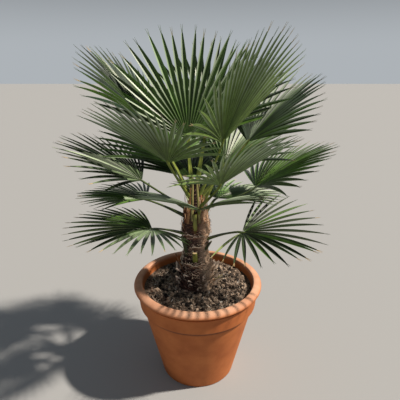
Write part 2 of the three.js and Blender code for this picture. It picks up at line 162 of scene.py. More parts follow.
world = bpy.data.worlds.new("pale sky")
world.use_nodes = True
tree = world.node_tree
tree.nodes.clear()
way = add(tree, "ShaderNodeTexCoord")
parts = add(tree, "ShaderNodeSeparateXYZ", {}, {"Vector": way.outputs["Generated"]})
glow = add(tree, "ShaderNodeMapRange", {"interpolation_type": "SMOOTHSTEP"}, {
    "Value": parts.outputs["Z"], "From Min": 0, "From Max": GLOW_TOP,
    "To Min": SKY_STRENGTH * HORIZON_GLOW, "To Max": SKY_STRENGTH})
sky = add(tree, "ShaderNodeBackground", {}, {"Color": linear("#dfe6ec"), "Strength": glow})
add(tree, "ShaderNodeOutputWorld", {}, {"Surface": sky})
scene.world = world
scene.view_settings.view_transform = "Standard"
print("sky strength", SKY_STRENGTH, "above and", round(SKY_STRENGTH * HORIZON_GLOW, 2), "at the horizon")

# %% Sun
KEY_TURN = -6
KEY_ELEVATION = 50
KEY_STRENGTH = 5.6
KEY_SPREAD = math.radians(2.6)

key_data = bpy.data.lights.new("key_lamp", "SUN")
key_data.energy = KEY_STRENGTH
key_data.angle = KEY_SPREAD
key_data.color = linear("#fff3e2")[:3]
key_lamp = linked("key_lamp", key_data)
key_lamp.rotation_euler = (0, math.radians(90 - KEY_ELEVATION), math.radians(KEY_TURN))
print("sun", KEY_ELEVATION, "degrees high")

# %% Floor
FLOOR_HALF = 14

floor_finish, tree = new_material("matt studio floor")
shader = add(tree, "ShaderNodeBsdfPrincipled", {}, {"Base Color": linear("#9b9da0"), "Roughness": 0.9})
add(tree, "ShaderNodeOutputMaterial", {}, {"Surface": shader})
floor_mesh = bpy.data.meshes.new("studio_floor")
corners = [(-1, -1), (1, -1), (1, 1), (-1, 1)]
floor_mesh.from_pydata([(x * FLOOR_HALF, y * FLOOR_HALF, 0) for x, y in corners], [], [(0, 1, 2, 3)])
floor_mesh.materials.append(floor_finish)
floor = linked("studio_floor", floor_mesh)
print("floor is", 2 * FLOOR_HALF, "m wide")

# %% [markdown]
# From numbers to meshes
#
# The solids were drawn in millimetres, and a mesh here is worked out in the same units, then turned to metres
# in one place. A piece is handed over in one place too: it rides with the plant's only body and stands for
# the solids it replaces.

# %% Meshes in millimetres
MM = 0.001


def piece_from(name, points, faces, finishes=(), edges=()):
    """A linked object from points in millimetres."""
    mesh = bpy.data.meshes.new(name)
    mesh.from_pydata((np.asarray(points, float) * MM).tolist(), edges, faces)
    for finish in finishes:
        mesh.materials.append(finish)
    return linked(name, mesh)


def mark_points(piece, mark, values):
    """Gives each point of a piece a number, for the trees and finishes to read by the mark's name."""
    piece.data.attributes.new(mark, "FLOAT", "POINT").data.foreach_set("value", values)


def smooth_below(piece, degrees):
    """Shades a piece smooth, but for edges sharper than an angle."""
    piece.data.shade_smooth()
    piece.data.set_sharp_from_angle(angle=math.radians(degrees))


def hand_over(piece, slot, *nodes):
    """Tells the frame what carries a piece and the solids that it stands for; the slot is not used."""
    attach(piece, "root")
    if nodes:
        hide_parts(*nodes)
    print(piece.name, "has", len(piece.data.polygons), "faces")

# %% Outlines and curves
def lathe(outline, sides):
    """Turns an outline of radius and height, which starts and ends on the axis, into a closed mesh."""
    points = []
    rings = []
    for radius, height in outline:
        count = sides if radius > 0 else 1
        rings.append(list(range(len(points), len(points) + count)))
        angles = np.arange(count) * 2 * math.pi / sides
        points += [(radius * math.cos(a), radius * math.sin(a), height) for a in angles]
    faces = []
    for low, high in zip(rings, rings[1:]):
        for side in range(sides):
            after = (side + 1) % sides
            corners = ((low, side), (low, after), (high, after), (high, side))
            faces.append(list(dict.fromkeys(ring[place % len(ring)] for ring, place in corners)))
    return points, faces


def arc(centre, radius, start, end, steps):
    """Points on an arc in the plane of an outline, with its angles in degrees."""
    angles = np.radians(np.linspace(start, end, steps + 1))
    return [(centre[0] + radius * math.cos(a), centre[1] + radius * math.sin(a)) for a in angles]


def straight(start, end, steps):
    """Points between two corners of an outline, without the corners."""
    shares = np.linspace(0, 1, steps + 1)[1:-1, None]
    return list(map(tuple, np.array(start) * (1 - shares) + np.array(end) * shares))


def curve(start, bend, end, steps):
    """Points on the curve of three control points."""
    shares = np.linspace(0, 1, steps + 1)[:, None]
    return start * (1 - shares) ** 2 + 2 * bend * shares * (1 - shares) + end * shares**2


print("a turned box of four sides has", len(lathe([(0, 0), (1, 0), (1, 1), (0, 1)], 4)[1]), "faces")

# %% [markdown]
# The terracotta pot
#
# A clay patio pot is pressed or thrown on a wheel: it has a rolled lip, a collar with a crisp lower edge,
# and a cove that leads into a plain tapering body. A turned outline gives all of that exactly, so the
# outline is written as arcs and straight lines from the sizes of the solid, and three drain holes are cut
# by a Boolean.

# %% Pot sizes
pot_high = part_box("pot")[1]
RIM_RADIUS = pot_high.x / MM
POT_HEIGHT = pot_high.z / MM
MOUTH_RADIUS = RIM_RADIUS - 28
LIP_HEIGHT = 20
COLLAR_TOP_RADIUS = RIM_RADIUS - 13
COLLAR_FOOT_RADIUS = RIM_RADIUS - 18
COLLAR_FOOT_HEIGHT = 288
BODY_TOP_RADIUS = 192
BODY_TOP_HEIGHT = 262
BASE_RADIUS = 133
BASE_ROUND = 5
FLOOR_THICKNESS = 16
FLOOR_RADIUS = 118
MOUTH_ROUND = 4
DRAIN_COUNT = 3
DRAIN_RADIUS = 9
DRAIN_RING_RADIUS = 62
DRAIN_TURN = 30
POT_SIDES = 144
print("rim radius", round(RIM_RADIUS, 1), "mm, height", round(POT_HEIGHT, 1), "mm")

# %% Pot outline
CREASE_DEPTH = 5
CREASE_HEIGHT = 9
CREASE_FOOT_SHARE = 0.6
COLLAR_EDGE = 2.5
COLLAR_OVERHANG = 8
COVE_TUCK = 1
COVE_LEAN = 2
COVE_BULGE = 0.55
COVE_STEPS = 8
LIP_DROP = 12.5
LIP_TUCK = 0.68
LIP_SEAT = 0.5
LIP_START_ANGLE = -62
LIP_STEPS = 16
MOUTH_STEPS = 6
EDGE_STEPS = 4
WALL_STEPS = 14
BASE_STEPS = 6
COLLAR_STEPS = 5
FLOOR_STEPS = 5

body_top = np.array((BODY_TOP_RADIUS, BODY_TOP_HEIGHT))
cove_end = np.array((COLLAR_FOOT_RADIUS - COLLAR_OVERHANG, COLLAR_FOOT_HEIGHT - COLLAR_EDGE + COVE_TUCK))
cove_rise = cove_end[1] - body_top[1]
cove_bend = np.array((BODY_TOP_RADIUS + COVE_LEAN, BODY_TOP_HEIGHT + COVE_BULGE * cove_rise))
cove = list(map(tuple, curve(body_top, cove_bend, cove_end, COVE_STEPS)))
foot_arc = arc((BASE_RADIUS - BASE_ROUND, BASE_ROUND), BASE_ROUND, -90, 0, EDGE_STEPS)
collar_arc = arc((COLLAR_FOOT_RADIUS - COLLAR_EDGE, COLLAR_FOOT_HEIGHT), COLLAR_EDGE, -90, 0, EDGE_STEPS)
mouth_middle = (MOUTH_RADIUS + MOUTH_ROUND, POT_HEIGHT - MOUTH_ROUND)
mouth_arc = arc(mouth_middle, MOUTH_ROUND, 90, 180, MOUTH_STEPS)[1:]
lip_middle = np.array((MOUTH_RADIUS + MOUTH_ROUND, POT_HEIGHT - LIP_DROP))
lip_size = np.array((RIM_RADIUS - lip_middle[0], LIP_DROP))
roll = np.array(arc((0, 0), 1, LIP_START_ANGLE, 90, LIP_STEPS))
lip_arc = [tuple(lip_middle + lip_size * step * (1, 1 if step[1] > 0 else LIP_TUCK)) for step in roll]
lip_foot = lip_arc[0][1] - LIP_SEAT
collar_top = (COLLAR_TOP_RADIUS, lip_foot - CREASE_HEIGHT)
crease_radius = COLLAR_TOP_RADIUS - CREASE_DEPTH
floor_corner = (FLOOR_RADIUS, FLOOR_THICKNESS)
floor_middle = (0, FLOOR_THICKNESS)
print("the cove rises", round(cove_rise, 1), "mm")

# %% Join the outline
outline = [(0, 0)] + straight((0, 0), foot_arc[0], BASE_STEPS) + foot_arc
outline += straight(foot_arc[-1], tuple(body_top), WALL_STEPS)
outline += cove + collar_arc
outline += straight(collar_arc[-1], collar_top, COLLAR_STEPS) + [collar_top]
outline += [(crease_radius, lip_foot - CREASE_FOOT_SHARE * CREASE_HEIGHT), (crease_radius, lip_foot)]
outline += lip_arc + mouth_arc
outline += straight(mouth_arc[-1], floor_corner, WALL_STEPS) + [floor_corner]
outline += straight(floor_corner, floor_middle, FLOOR_STEPS) + [floor_middle]
print("outline has", len(outline), "points")

# %% Terracotta finish
# Fired clay without a glaze: matt, warm orange, a little cloudy, with faint rings from the wheel. The lip
# is paler, partly a bloom of lime where it dries out and partly a painted highlight of the sunlit lip, and a
# dark band under the collar is painted shade, where the collar's shadow falls. Real rings are about 7 mm
# apart. They are drawn coarser, so that they show.
WHEEL_RING_SPACING = 44.2 * MM
WAVE_LENGTH = math.pi / 10  # of the wave texture's own bands, at a scale of 1
CLAY_GRAIN = 1.5 * MM
CLOUD_SIZE = 90 * MM
LIME_AND_HIGHLIGHT_SHARE = 0.75
LIME_AND_HIGHLIGHT_FOOT = (POT_HEIGHT - LIP_HEIGHT * LIME_AND_HIGHLIGHT_SHARE) * MM
SHADE_BAND_TOP = (COLLAR_FOOT_HEIGHT - 1) * MM
SHADE_BAND_DARKEST = (COLLAR_FOOT_HEIGHT - 11) * MM
SHADE_BAND_FOOT = (COLLAR_FOOT_HEIGHT - 21) * MM

terracotta, tree = new_material("unglazed terracotta")
place = add(tree, "ShaderNodeTexCoord").outputs["Object"]
height = add(tree, "ShaderNodeSeparateXYZ", {}, {"Vector": place}).outputs["Z"]
clouds = add(tree, "ShaderNodeTexNoise", {}, {
    "Vector": place, "Scale": 1 / CLOUD_SIZE, "Detail": 5, "Roughness": 0.6})
clay = add(tree, "ShaderNodeValToRGB", {}, {"Fac": clouds})
set_stops(clay, (0.32, "#a05624"), (0.72, "#bd6f38"))
grain = add(tree, "ShaderNodeTexNoise", {}, {"Vector": place, "Scale": 1 / CLAY_GRAIN, "Detail": 3})
speckle = add(tree, "ShaderNodeMapRange", {}, {
    "Value": grain, "From Min": 0.62, "From Max": 0.75, "To Min": 0, "To Max": 0.45})
speckled = add(tree, "ShaderNodeMix", {"data_type": "RGBA"}, {
    "Factor": speckle, 6: clay, 7: linear("#8f4a2c")})
# The pale lip is partly a bloom of lime and partly a painted highlight of the sunlit lip.
rim_share = add(tree, "ShaderNodeMapRange", {"interpolation_type": "SMOOTHSTEP"}, {
    "Value": height, "From Min": LIME_AND_HIGHLIGHT_FOOT, "From Max": POT_HEIGHT * MM, "To Min": 0, "To Max": 1})
lime_and_highlight = add(tree, "ShaderNodeMath", {"operation": "MULTIPLY"}, {0: rim_share, 1: clouds})
lime_and_highlight_clay = add(tree, "ShaderNodeMix", {"data_type": "RGBA"}, {
    "Factor": lime_and_highlight, 6: speckled.outputs[2], 7: linear("#dcb8a0")})
# Painted shade: a dark band under the collar, darkest a little below it, where the collar's shadow falls.
shade_fade = add(tree, "ShaderNodeMapRange", {"interpolation_type": "SMOOTHSTEP"}, {
    "Value": height, "From Min": SHADE_BAND_FOOT, "From Max": SHADE_BAND_DARKEST, "To Min": 0, "To Max": 0.75})
under_collar = add(tree, "ShaderNodeMath", {"operation": "LESS_THAN"}, {0: height, 1: SHADE_BAND_TOP})
collar_shade = add(tree, "ShaderNodeMath", {"operation": "MULTIPLY"}, {0: shade_fade, 1: under_collar})
shaded_clay = add(tree, "ShaderNodeMix", {"data_type": "RGBA"}, {
    "Factor": collar_shade, 6: lime_and_highlight_clay.outputs[2], 7: linear("#4a2414")})
rings = add(tree, "ShaderNodeTexWave", {"bands_direction": "Z"}, {
    "Vector": place, "Scale": WAVE_LENGTH / WHEEL_RING_SPACING, "Distortion": 1.2, "Detail": 2,
    "Detail Scale": 1.5})
rings_bump = add(tree, "ShaderNodeBump", {}, {
    "Height": rings.outputs["Fac"], "Strength": 0.18, "Distance": 0.6 * MM})
grain_bump = add(tree, "ShaderNodeBump", {}, {
    "Height": grain, "Strength": 0.35, "Distance": 0.5 * MM, "Normal": rings_bump})
shader = add(tree, "ShaderNodeBsdfPrincipled", {}, {
    "Base Color": shaded_clay.outputs[2], "Roughness": 0.82, "Normal": grain_bump})
add(tree, "ShaderNodeOutputMaterial", {}, {"Surface": shader})
print("terracotta has", len(tree.nodes), "nodes")

# %% Keep what a modifier makes
def apply_modifiers(piece):
    """Keeps what a piece's modifiers make as its plain mesh."""
    graph = bpy.context.evaluated_depsgraph_get()
    made = bpy.data.meshes.new_from_object(piece.evaluated_get(graph), depsgraph=graph)
    piece.modifiers.clear()
    piece.data = made

# %% Turn the pot and drill it
DRILL_SIDES = 32

points, faces = lathe(outline, POT_SIDES)
pot = piece_from("clay_pot", points, faces, [terracotta])
drill = bmesh.new()
for index in range(DRAIN_COUNT):
    turn = math.radians(DRAIN_TURN + 360 / DRAIN_COUNT * index)
    made = bmesh.ops.create_cone(
        drill, cap_ends=True, segments=DRILL_SIDES, radius1=DRAIN_RADIUS * MM, radius2=DRAIN_RADIUS * MM,
        depth=3 * FLOOR_THICKNESS * MM)
    middle = Vector((math.cos(turn), math.sin(turn), 0)) * DRAIN_RING_RADIUS * MM
    bmesh.ops.translate(drill, verts=made["verts"], vec=middle)
drill_mesh = bpy.data.meshes.new("drain_drill")
drill.to_mesh(drill_mesh)
drill.free()
drill_bit = linked("drain_drill", drill_mesh)
cut = pot.modifiers.new("drain holes", "BOOLEAN")
cut.object = drill_bit
cut.operation = "DIFFERENCE"
cut.solver = "EXACT"
apply_modifiers(pot)
bpy.data.objects.remove(drill_bit)
smooth_below(pot, 35)
hand_over(pot, "terracotta", "pot")

# %% [markdown]
# Geometry Nodes that sweep a section along a path
#
# Leaf stalks, leaflets and cut stubs are all one shape: a section carried along a line, wider and narrower
# as it goes, with one side kept up. A tree of nodes does that for every line of a mesh at once. The line's
# points carry their half width, their sideways direction, their tint and whether they belong to a withered
# end; the section's points say whether they are on the upper side. The tree reads those and deals out the
# finishes.

# %% Trees with named inputs
def new_tree(name, sockets):
    """A tree from a geometry and the named inputs to a geometry, and the sockets of what it is given."""
    tree = bpy.data.node_groups.new(name, "GeometryNodeTree")
    for label, kind in {"Geometry": "Geometry", **sockets}.items():
        tree.interface.new_socket(label, in_out="INPUT", socket_type="NodeSocket" + kind)
    tree.interface.new_socket("Geometry", in_out="OUTPUT", socket_type="NodeSocketGeometry")
    return tree, add(tree, "NodeGroupInput").outputs


def realized(tree, copies, finish):
    """Makes a real mesh of what a node gives, with its finish."""
    whole = add(tree, "GeometryNodeRealizeInstances", {}, {"Geometry": copies})
    return add(tree, "GeometryNodeSetMaterial", {}, {"Geometry": whole, "Material": finish})


def grow(piece, tree, given):
    """Runs a tree on a piece with the named inputs, and keeps the result as its plain mesh."""
    modifier = piece.modifiers.new(tree.name, "NODES")
    modifier.node_group = tree
    for item in tree.interface.items_tree:
        if item.in_out == "INPUT" and item.name in given:
            modifier[item.identifier] = given[item.name]
    apply_modifiers(piece)

# %% The sweep tree
# Each rule gives a finish to the faces whose mark is past a limit.
FINISH_RULES = (
    ("Second tint", "tint", "GREATER_THAN", 0.5),
    ("Third tint", "tint", "GREATER_THAN", 1.5),
    ("Underside", "top", "LESS_THAN", 0.4),
    ("End", "end", "GREATER_THAN", 0.9))


def sweep_tree():
    """Sweeps a section along the lines of a mesh and gives each face its finish."""
    tree, given = new_tree("swept section", {
        "Section": "Object", "First tint": "Material", "Second tint": "Material", "Third tint": "Material",
        "Underside": "Material", "End": "Material"})
    lines = add(tree, "GeometryNodeMeshToCurve", {}, {"Mesh": given["Geometry"]})
    side = add(tree, "GeometryNodeInputNamedAttribute", {"data_type": "FLOAT_VECTOR"}, {"Name": "side"})
    turned = add(tree, "GeometryNodeSetCurveNormal", {"mode": "FREE"}, {"Curve": lines, "Normal": side})
    shape = add(tree, "GeometryNodeObjectInfo", {}, {"Object": given["Section"]})
    section = add(tree, "GeometryNodeMeshToCurve", {}, {"Mesh": shape.outputs["Geometry"]})
    half = add(tree, "GeometryNodeInputNamedAttribute", {"data_type": "FLOAT"}, {"Name": "half_width"})
    swept = add(tree, "GeometryNodeCurveToMesh", {}, {
        "Curve": turned, "Profile Curve": section, "Scale": half, "Fill Caps": True})
    made = realized(tree, swept, given["First tint"])
    for label, mark, operation, limit in FINISH_RULES:
        value = add(tree, "GeometryNodeInputNamedAttribute", {"data_type": "FLOAT"}, {"Name": mark})
        chosen = add(tree, "FunctionNodeCompare", {"data_type": "FLOAT", "operation": operation}, {
            "A": value, "B": limit})
        made = add(tree, "GeometryNodeSetMaterial", {}, {
            "Geometry": made, "Selection": chosen, "Material": given[label]})
    add(tree, "NodeGroupOutput", {}, {0: made})
    return tree


SWEEP = sweep_tree()
print("the sweep tree has", len(SWEEP.nodes), "nodes")

# %% Sections
def section_object(name, corners):
    """A closed section from corners of across, lift and upper-side mark, in shares of the half width."""
    count = len(corners)
    edges = [(place, (place + 1) % count) for place in range(count)]
    mesh = bpy.data.meshes.new(name)
    mesh.from_pydata([(across, lift, 0) for across, lift, top in corners], edges, [])
    section = linked(name, mesh)
    mark_points(section, "top", [top for across, lift, top in corners])
    mark_points(section, "across", [across for across, lift, top in corners])
    return section


FOLD = math.tan(math.radians(40))
BELLY = 0.46 * FOLD  # how high the middle of each half stands, a little hollow
leaflet_section = section_object("leaflet_section", [
    (-1, FOLD, 0.5), (-0.5, BELLY - 0.06, 0), (0, -0.1, 0), (0.5, BELLY - 0.06, 0),
    (1, FOLD, 0.5), (0.5, BELLY + 0.05, 1), (0, 0.03, 1), (-0.5, BELLY + 0.05, 1)])
limb_section = section_object("limb_section", [
    (-0.97, 0.05, 0.3), (-0.78, -0.32, 0), (-0.42, -0.55, 0), (0, -0.62, 0), (0.42, -0.55, 0),
    (0.78, -0.32, 0), (0.97, 0.05, 0.3), (0.98, 0.3, 1), (0.8, 0.37, 1), (0.35, 0.27, 1),
    (-0.35, 0.27, 1), (-0.8, 0.37, 1), (-0.98, 0.3, 1)])
print("corners of the sections:", len(leaflet_section.data.vertices), len(limb_section.data.vertices))

# %% Lines for the sweep
def unit(vector):
    """A vector, or each of a stack of them, at a length of 1."""
    return vector / np.linalg.norm(vector, axis=-1, keepdims=True)


class Lines:
    """Collects lines and what their points carry, then makes one mesh of edges."""

    def __init__(self):
        self.points = []
        self.edges = []
        self.sides = []
        self.marks = {}

    def add_line(self, points, uprights, half_widths, tint, end, outward=0, sheen_side=1, tone=1):
        """Adds a line whose section's upper side turns towards the uprights."""
        points = np.asarray(points, float)
        tangents = unit(np.gradient(points, axis=0))
        first = len(self.points)
        count = len(points)
        self.points += points.tolist()
        self.edges += [(first + place, first + place + 1) for place in range(count - 1)]
        self.sides += unit(np.cross(np.asarray(uprights, float), tangents)).tolist()
        carried = {
            "half_width": np.asarray(half_widths) * MM, "tint": tint, "end": end, "outward": outward,
            "sheen_side": sheen_side, "tone": tone}
        for mark, values in carried.items():
            self.marks.setdefault(mark, []).extend(np.broadcast_to(values, count).tolist())

    def piece(self, name):
        """The lines as one mesh, which a tree turns into the piece."""
        made = piece_from(name, self.points, [], edges=self.edges)
        for mark, values in self.marks.items():
            mark_points(made, mark, values)
        side = made.data.attributes.new("side", "FLOAT_VECTOR", "POINT")
        side.data.foreach_set("vector", np.ravel(self.sides))
        return made


print("a vector of length 5 becomes", unit(np.array((3.0, 4.0))))

# %% [markdown]
# Where the fans stand
#
# Each leaf is a fan on a stalk. Its hub, the way its blade points, its length and its spread are the same
# as in the solids, so the finer leaf keeps to the same reach. Only the number of leaflets grows to the real
# one, and each leaflet gets its own small turn, bend and droop, because no two are alike.

# %% The fans
# Within a fan's sunlit range, its third tint paints sunlight and sheen on the leaflets. The sheen side says
# on which half of a leaflet the painted highlight lies, and 0 leaves it off.
FRONDS = {
    "top_centre": dict(
        hub=(120, 58, 852), aim=(76, 78, 23), blade=394, leaflets=25, spread=140, taper=1, cup=2,
        foot=(120, 690), cleft=0.3, fill=0.8, tints=("mid", "deep", "mid")),
    "top_right": dict(
        hub=(335, 85, 860), aim=(296, 61.5, 29), blade=400, leaflets=23, spread=108, taper=0.5, cup=-6,
        foot=(325, 682), sunlit_range=(28, 54), under="under_olive", sheen_side=-0.65,
        tints=("mid", "deep", "silver_sheen")),
    "left_front": dict(
        hub=(222, 118, 810), aim=(255, 46, -12), blade=315, leaflets=20, spread=106, taper=0.6, cup=0,
        foot=(225, 668), under="under_olive", sunlit_range=(-46, -6), tints=("olive", "mid", "painted_sheen")),
    "right_front": dict(
        hub=(311, 106, 738), aim=(285, 43, 15), blade=300, leaflets=18, spread=96, taper=0.6, cup=0,
        foot=(305, 645), cleft=0.24, fill=0.68, under="under_lit", sheen_side=-1, sunlit_range=(-22, 34),
        tints=("bright", "olive", "painted_sheen")),
    "right_upper": dict(
        hub=(20, 175, 843), aim=(20, 48, 5), blade=325, leaflets=24, spread=146, taper=0.4, cup=14,
        foot=(20, 668), under="painted_sheen", sunlit_range=(-75, 5), tints=("deep", "bright", "painted_sheen")),
    "left_mid": dict(
        hub=(180, 180, 729), aim=(175, 33, 1), blade=305, leaflets=22, spread=152, taper=0.75, cup=6,
        foot=(188, 632), cleft=0.16, fill=0.58, sheen_side=0, tints=("dark", "soft", "mid")),
    "right_mid": dict(
        hub=(3, 190, 703), aim=(12, 33, -10), blade=302, leaflets=23, spread=168, taper=0.5, cup=6,
        foot=(358, 634), sheen_side=-1, tints=("mid", "deep", "silver_sheen")),
    "low_right": dict(
        hub=(338, 156, 572), aim=(333, 6, 8), blade=270, leaflets=22, spread=192, taper=0.78, cup=14,
        foot=(338, 525), cleft=0.16, fill=0.56, sheen_side=0, sunlit_range=(50, 96), tints=("dark", "mid", "pale")),
    "low_left": dict(
        hub=(202, 158, 585), aim=(215, 10, 1), blade=280, leaflets=26, spread=212, taper=1.1, cup=8,
        foot=(200, 545), cleft=0.2, fill=0.64, sheen_side=0, sunlit_range=(-80, -15), tints=("deep", "mid", "soft")),
    "up_left": dict(
        hub=(155, 175, 905), aim=(168, 55, -2), blade=328, leaflets=21, spread=118, taper=0.5, cup=2,
        foot=(160, 676), tints=("deep", "teal", "deep")),
    "left_back": dict(
        hub=(158, 195, 636), aim=(165, 8, 6), blade=240, leaflets=22, spread=150, taper=0.45, cup=6,
        foot=(155, 596), cleft=0.2, fill=0.66, tints=("mid", "deep", "mid")),
    "front": dict(
        hub=(275, 64, 655), aim=(265, 14, 0), blade=230, leaflets=20, spread=216, taper=0.2, cup=18,
        foot=(268, 546), cleft=0.22, fill=0.64, bare_middle=52, sunlit_range=(50, 110),
        tints=("deep", "olive", "silver_sheen")),
    "top_back": dict(
        hub=(72, 95, 885), aim=(65, 64, 0), blade=340, leaflets=24, spread=136, taper=0.45, cup=8,
        foot=(70, 696), tints=("mid", "deep", "teal")),
    "back_left": dict(
        hub=(125, 150, 752), aim=(125, 38, 0), blade=300, leaflets=24, spread=156, taper=0.5, cup=10,
        foot=(125, 640), tints=("mid", "deep", "teal")),
    "back_right": dict(
        hub=(55, 165, 745), aim=(50, 36, 0), blade=300, leaflets=24, spread=156, taper=0.5, cup=10,
        foot=(50, 630), tints=("mid", "deep", "teal")),
    "back": dict(
        hub=(98, 150, 690), aim=(98, 20, 0), blade=300, leaflets=24, spread=156, taper=0.5, cup=10,
        foot=(98, 606), tints=("deep", "mid", "olive")),
    "low_back": dict(
        hub=(58, 128, 628), aim=(58, 2, 0), blade=260, leaflets=22, spread=180, taper=0.6, cup=8,
        foot=(58, 566), tints=("mid", "deep", "teal")),
}
print("leaflets in all:", sum(frond["leaflets"] for frond in FRONDS.values()))

# %% Directions of a fan
UP = np.array((0.0, 0.0, 1.0))


def around_axis(turn, radius, height):
    """A place given by its turn in degrees, its radius and its height."""
    angle = math.radians(turn)
    return np.array((radius * math.cos(angle), radius * math.sin(angle), height))


def blade_axes(aim):
    """The blade's forward direction, its upper side, and the direction across it."""
    heading, pitch, roll = np.radians(aim)
    forward = np.array((
        math.cos(heading) * math.cos(pitch), math.sin(heading) * math.cos(pitch), math.sin(pitch)))
    level = unit(UP - forward * forward[2])
    upper = level * math.cos(roll) + np.cross(forward, level) * math.sin(roll)
    return forward, upper, np.cross(forward, upper)


print("the top fan points", blade_axes(FRONDS["top_centre"]["aim"])[0].round(2))

# %% [markdown]
# The trunk's own shape
#
# A fan palm's trunk hardly tapers: it flares at the soil, then carries the bases of its old leaves. The
# solid's radii at its heights are joined here by straight lines, so that everything that grows on the trunk
# can ask how thick it is.

# %% Trunk radius and centre
trunk_low, trunk_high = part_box("trunk")
TRUNK_FOOT = trunk_low.z / MM
HEART_TOP = trunk_high.z / MM
TRUNK_HEIGHTS = (TRUNK_FOOT, 374, 432, 517, 600, 632, 654, HEART_TOP)
TRUNK_RADII = (60, 52, 44, 47, 47, 39.5, 27, 12)
TRUNK_LEAN = -4


def trunk_radius(height):
    """How thick the solid trunk is at a height."""
    return float(np.interp(height, TRUNK_HEIGHTS, TRUNK_RADII))


def trunk_centre(height):
    """Where the leaning trunk's middle is at a height, seen from above."""
    share = (height - TRUNK_FOOT) / (HEART_TOP - TRUNK_FOOT)
    return np.array((TRUNK_LEAN * (1 + share), 0, 0))


def on_trunk(turn, radius, height):
    """A place given by its turn round the leaning trunk."""
    return around_axis(turn, radius, height) + trunk_centre(height)


print("trunk from", round(TRUNK_FOOT, 1), "to", round(HEART_TOP, 1), "mm")

# %% [markdown]
# Leaf stalks
#
# A stalk leaves the trunk steeply, bends outwards and meets the blade in its own direction. It is flat or a
# little hollow above and round below, broad and brown where it clasps the trunk and green further out. The
# sweep tree carries a limb's section along a curve of three control points, the same one as in the solids.

# %% Stalk finishes
# A fresh stalk is a smooth waxy skin over long fibres, so its colour runs in faint lengthwise streaks. Real
# streaks are about 3 mm wide. They are drawn four times as coarse, so that they show.
STREAK_WIDTH = 12 * MM
STREAK_STRETCH = (1, 1, 0.3)


def stalk_finish(name, light_hex, dark_hex, roughness):
    """A waxy skin with faint streaks along the stalk."""
    material, tree = new_material(name)
    place = add(tree, "ShaderNodeTexCoord").outputs["Object"]
    stretch = add(tree, "ShaderNodeMapping", {}, {"Vector": place, "Scale": STREAK_STRETCH})
    streaks = add(tree, "ShaderNodeTexNoise", {}, {"Vector": stretch, "Scale": 1 / STREAK_WIDTH, "Detail": 4})
    colour = add(tree, "ShaderNodeValToRGB", {}, {"Fac": streaks})
    set_stops(colour, (0.35, dark_hex), (0.65, light_hex))
    bump = add(tree, "ShaderNodeBump", {}, {"Height": streaks, "Strength": 0.3, "Distance": 0.4 * MM})
    shader = add(tree, "ShaderNodeBsdfPrincipled", {}, {
        "Base Color": colour, "Roughness": roughness, "IOR": 1.45, "Normal": bump})
    add(tree, "ShaderNodeOutputMaterial", {}, {"Surface": shader})
    return material


green_skin = stalk_finish("green stalk skin", "#8a9440", "#5c6b2c", 0.42)
dark_skin = stalk_finish("dark green stalk skin", "#4d5c2c", "#33401f", 0.45)
brown_skin = stalk_finish("brown stalk base", "#6e4a2c", "#43281b", 0.7)
olive_skin = stalk_finish("olive stub skin", "#8d9040", "#5a6028", 0.5)
deep_skin = stalk_finish("dark olive stub skin", "#3a4422", "#232b16", 0.5)
cut_pith = stalk_finish("dry cut pith", "#cbb993", "#a38d69", 0.85)
straw_skin = stalk_finish("straw green stalk base", "#a9a066", "#645d34", 0.5)
tan_skin = stalk_finish("tan stalk base", "#b98b5e", "#7c4f31", 0.6)
print("streaks drawn", round(STREAK_WIDTH / MM), "mm wide")

# %% Stalk curves
STALK_FOOT_WIDTH = 20
STALK_TIP_WIDTH = 10
STALK_NARROWED_SHARE = 0.625
STALK_BEND_SHARE = 0.45
STALK_ROOT_SHARE = 0.75
STALK_STEPS = 22
NECK_LENGTH = 14
NECK_FRONT = 16
NECK_WIDTH_SHARES = (0.5, 0.42, 0.2)
BROWN_SHARE = 0.05


def stalk_points(frond):
    """The stalk from inside the trunk to the hub, and on into the blade."""
    hub = around_axis(*frond["hub"])
    forward, upper, across = blade_axes(frond["aim"])
    turn, height = frond["foot"]
    foot = on_trunk(turn, STALK_ROOT_SHARE * trunk_radius(height), height)
    tip = hub - forward * NECK_LENGTH
    arrival = unit(unit(tip - foot) + forward)
    bend = tip - arrival * STALK_BEND_SHARE * np.linalg.norm(tip - foot)
    shares = np.linspace(0, 1, STALK_STEPS + 1)[:, None]
    foot_up = unit(around_axis(turn, -1, 1))
    ups = foot_up * (1 - shares) + upper * shares
    neck = [hub, hub + forward * NECK_FRONT * 0.5, hub + forward * NECK_FRONT]
    return np.vstack([curve(foot, bend, tip, STALK_STEPS), neck]), np.vstack([ups, [upper] * len(neck)])


def stalk_lines(frond):
    """The one line of a stalk, with its widths and its brown foot."""
    points, ups = stalk_points(frond)
    shares = np.minimum(1, np.linspace(0, 1, STALK_STEPS + 1) / STALK_NARROWED_SHARE)
    half = (STALK_FOOT_WIDTH * (1 - shares) + STALK_TIP_WIDTH * shares) / 2
    half = np.concatenate([half, [STALK_TIP_WIDTH * share for share in NECK_WIDTH_SHARES]])
    tint = (np.arange(len(points)) < BROWN_SHARE * STALK_STEPS).astype(float)
    lines = Lines()
    lines.add_line(points, ups, half, tint, 0)
    return lines


middle_line = stalk_points(FRONDS["top_centre"])[0]
print("top stalk is", round(np.linalg.norm(np.diff(middle_line, axis=0), axis=1).sum()), "mm long")

# %% Sweep the limbs
DARK_STALKS = ("low_right", "low_left", "left_back", "low_back", "back", "right_mid", "left_mid")


def sweep_limb(lines, name, skin, foot_skin, end_skin, *nodes):
    """Sweeps a limb's section along lines and hands the limb over."""
    limb = lines.piece(name)
    grow(limb, SWEEP, {
        "Section": limb_section, "First tint": skin, "Second tint": foot_skin, "Third tint": foot_skin,
        "Underside": skin, "End": end_skin})
    smooth_below(limb, 50)
    hand_over(limb, "stalk", *nodes)


for name, frond in FRONDS.items():
    skin = dark_skin if name in DARK_STALKS else green_skin
    sweep_limb(stalk_lines(frond), "leaf_stalk_" + name, skin, brown_skin, skin, "stalk_" + name)
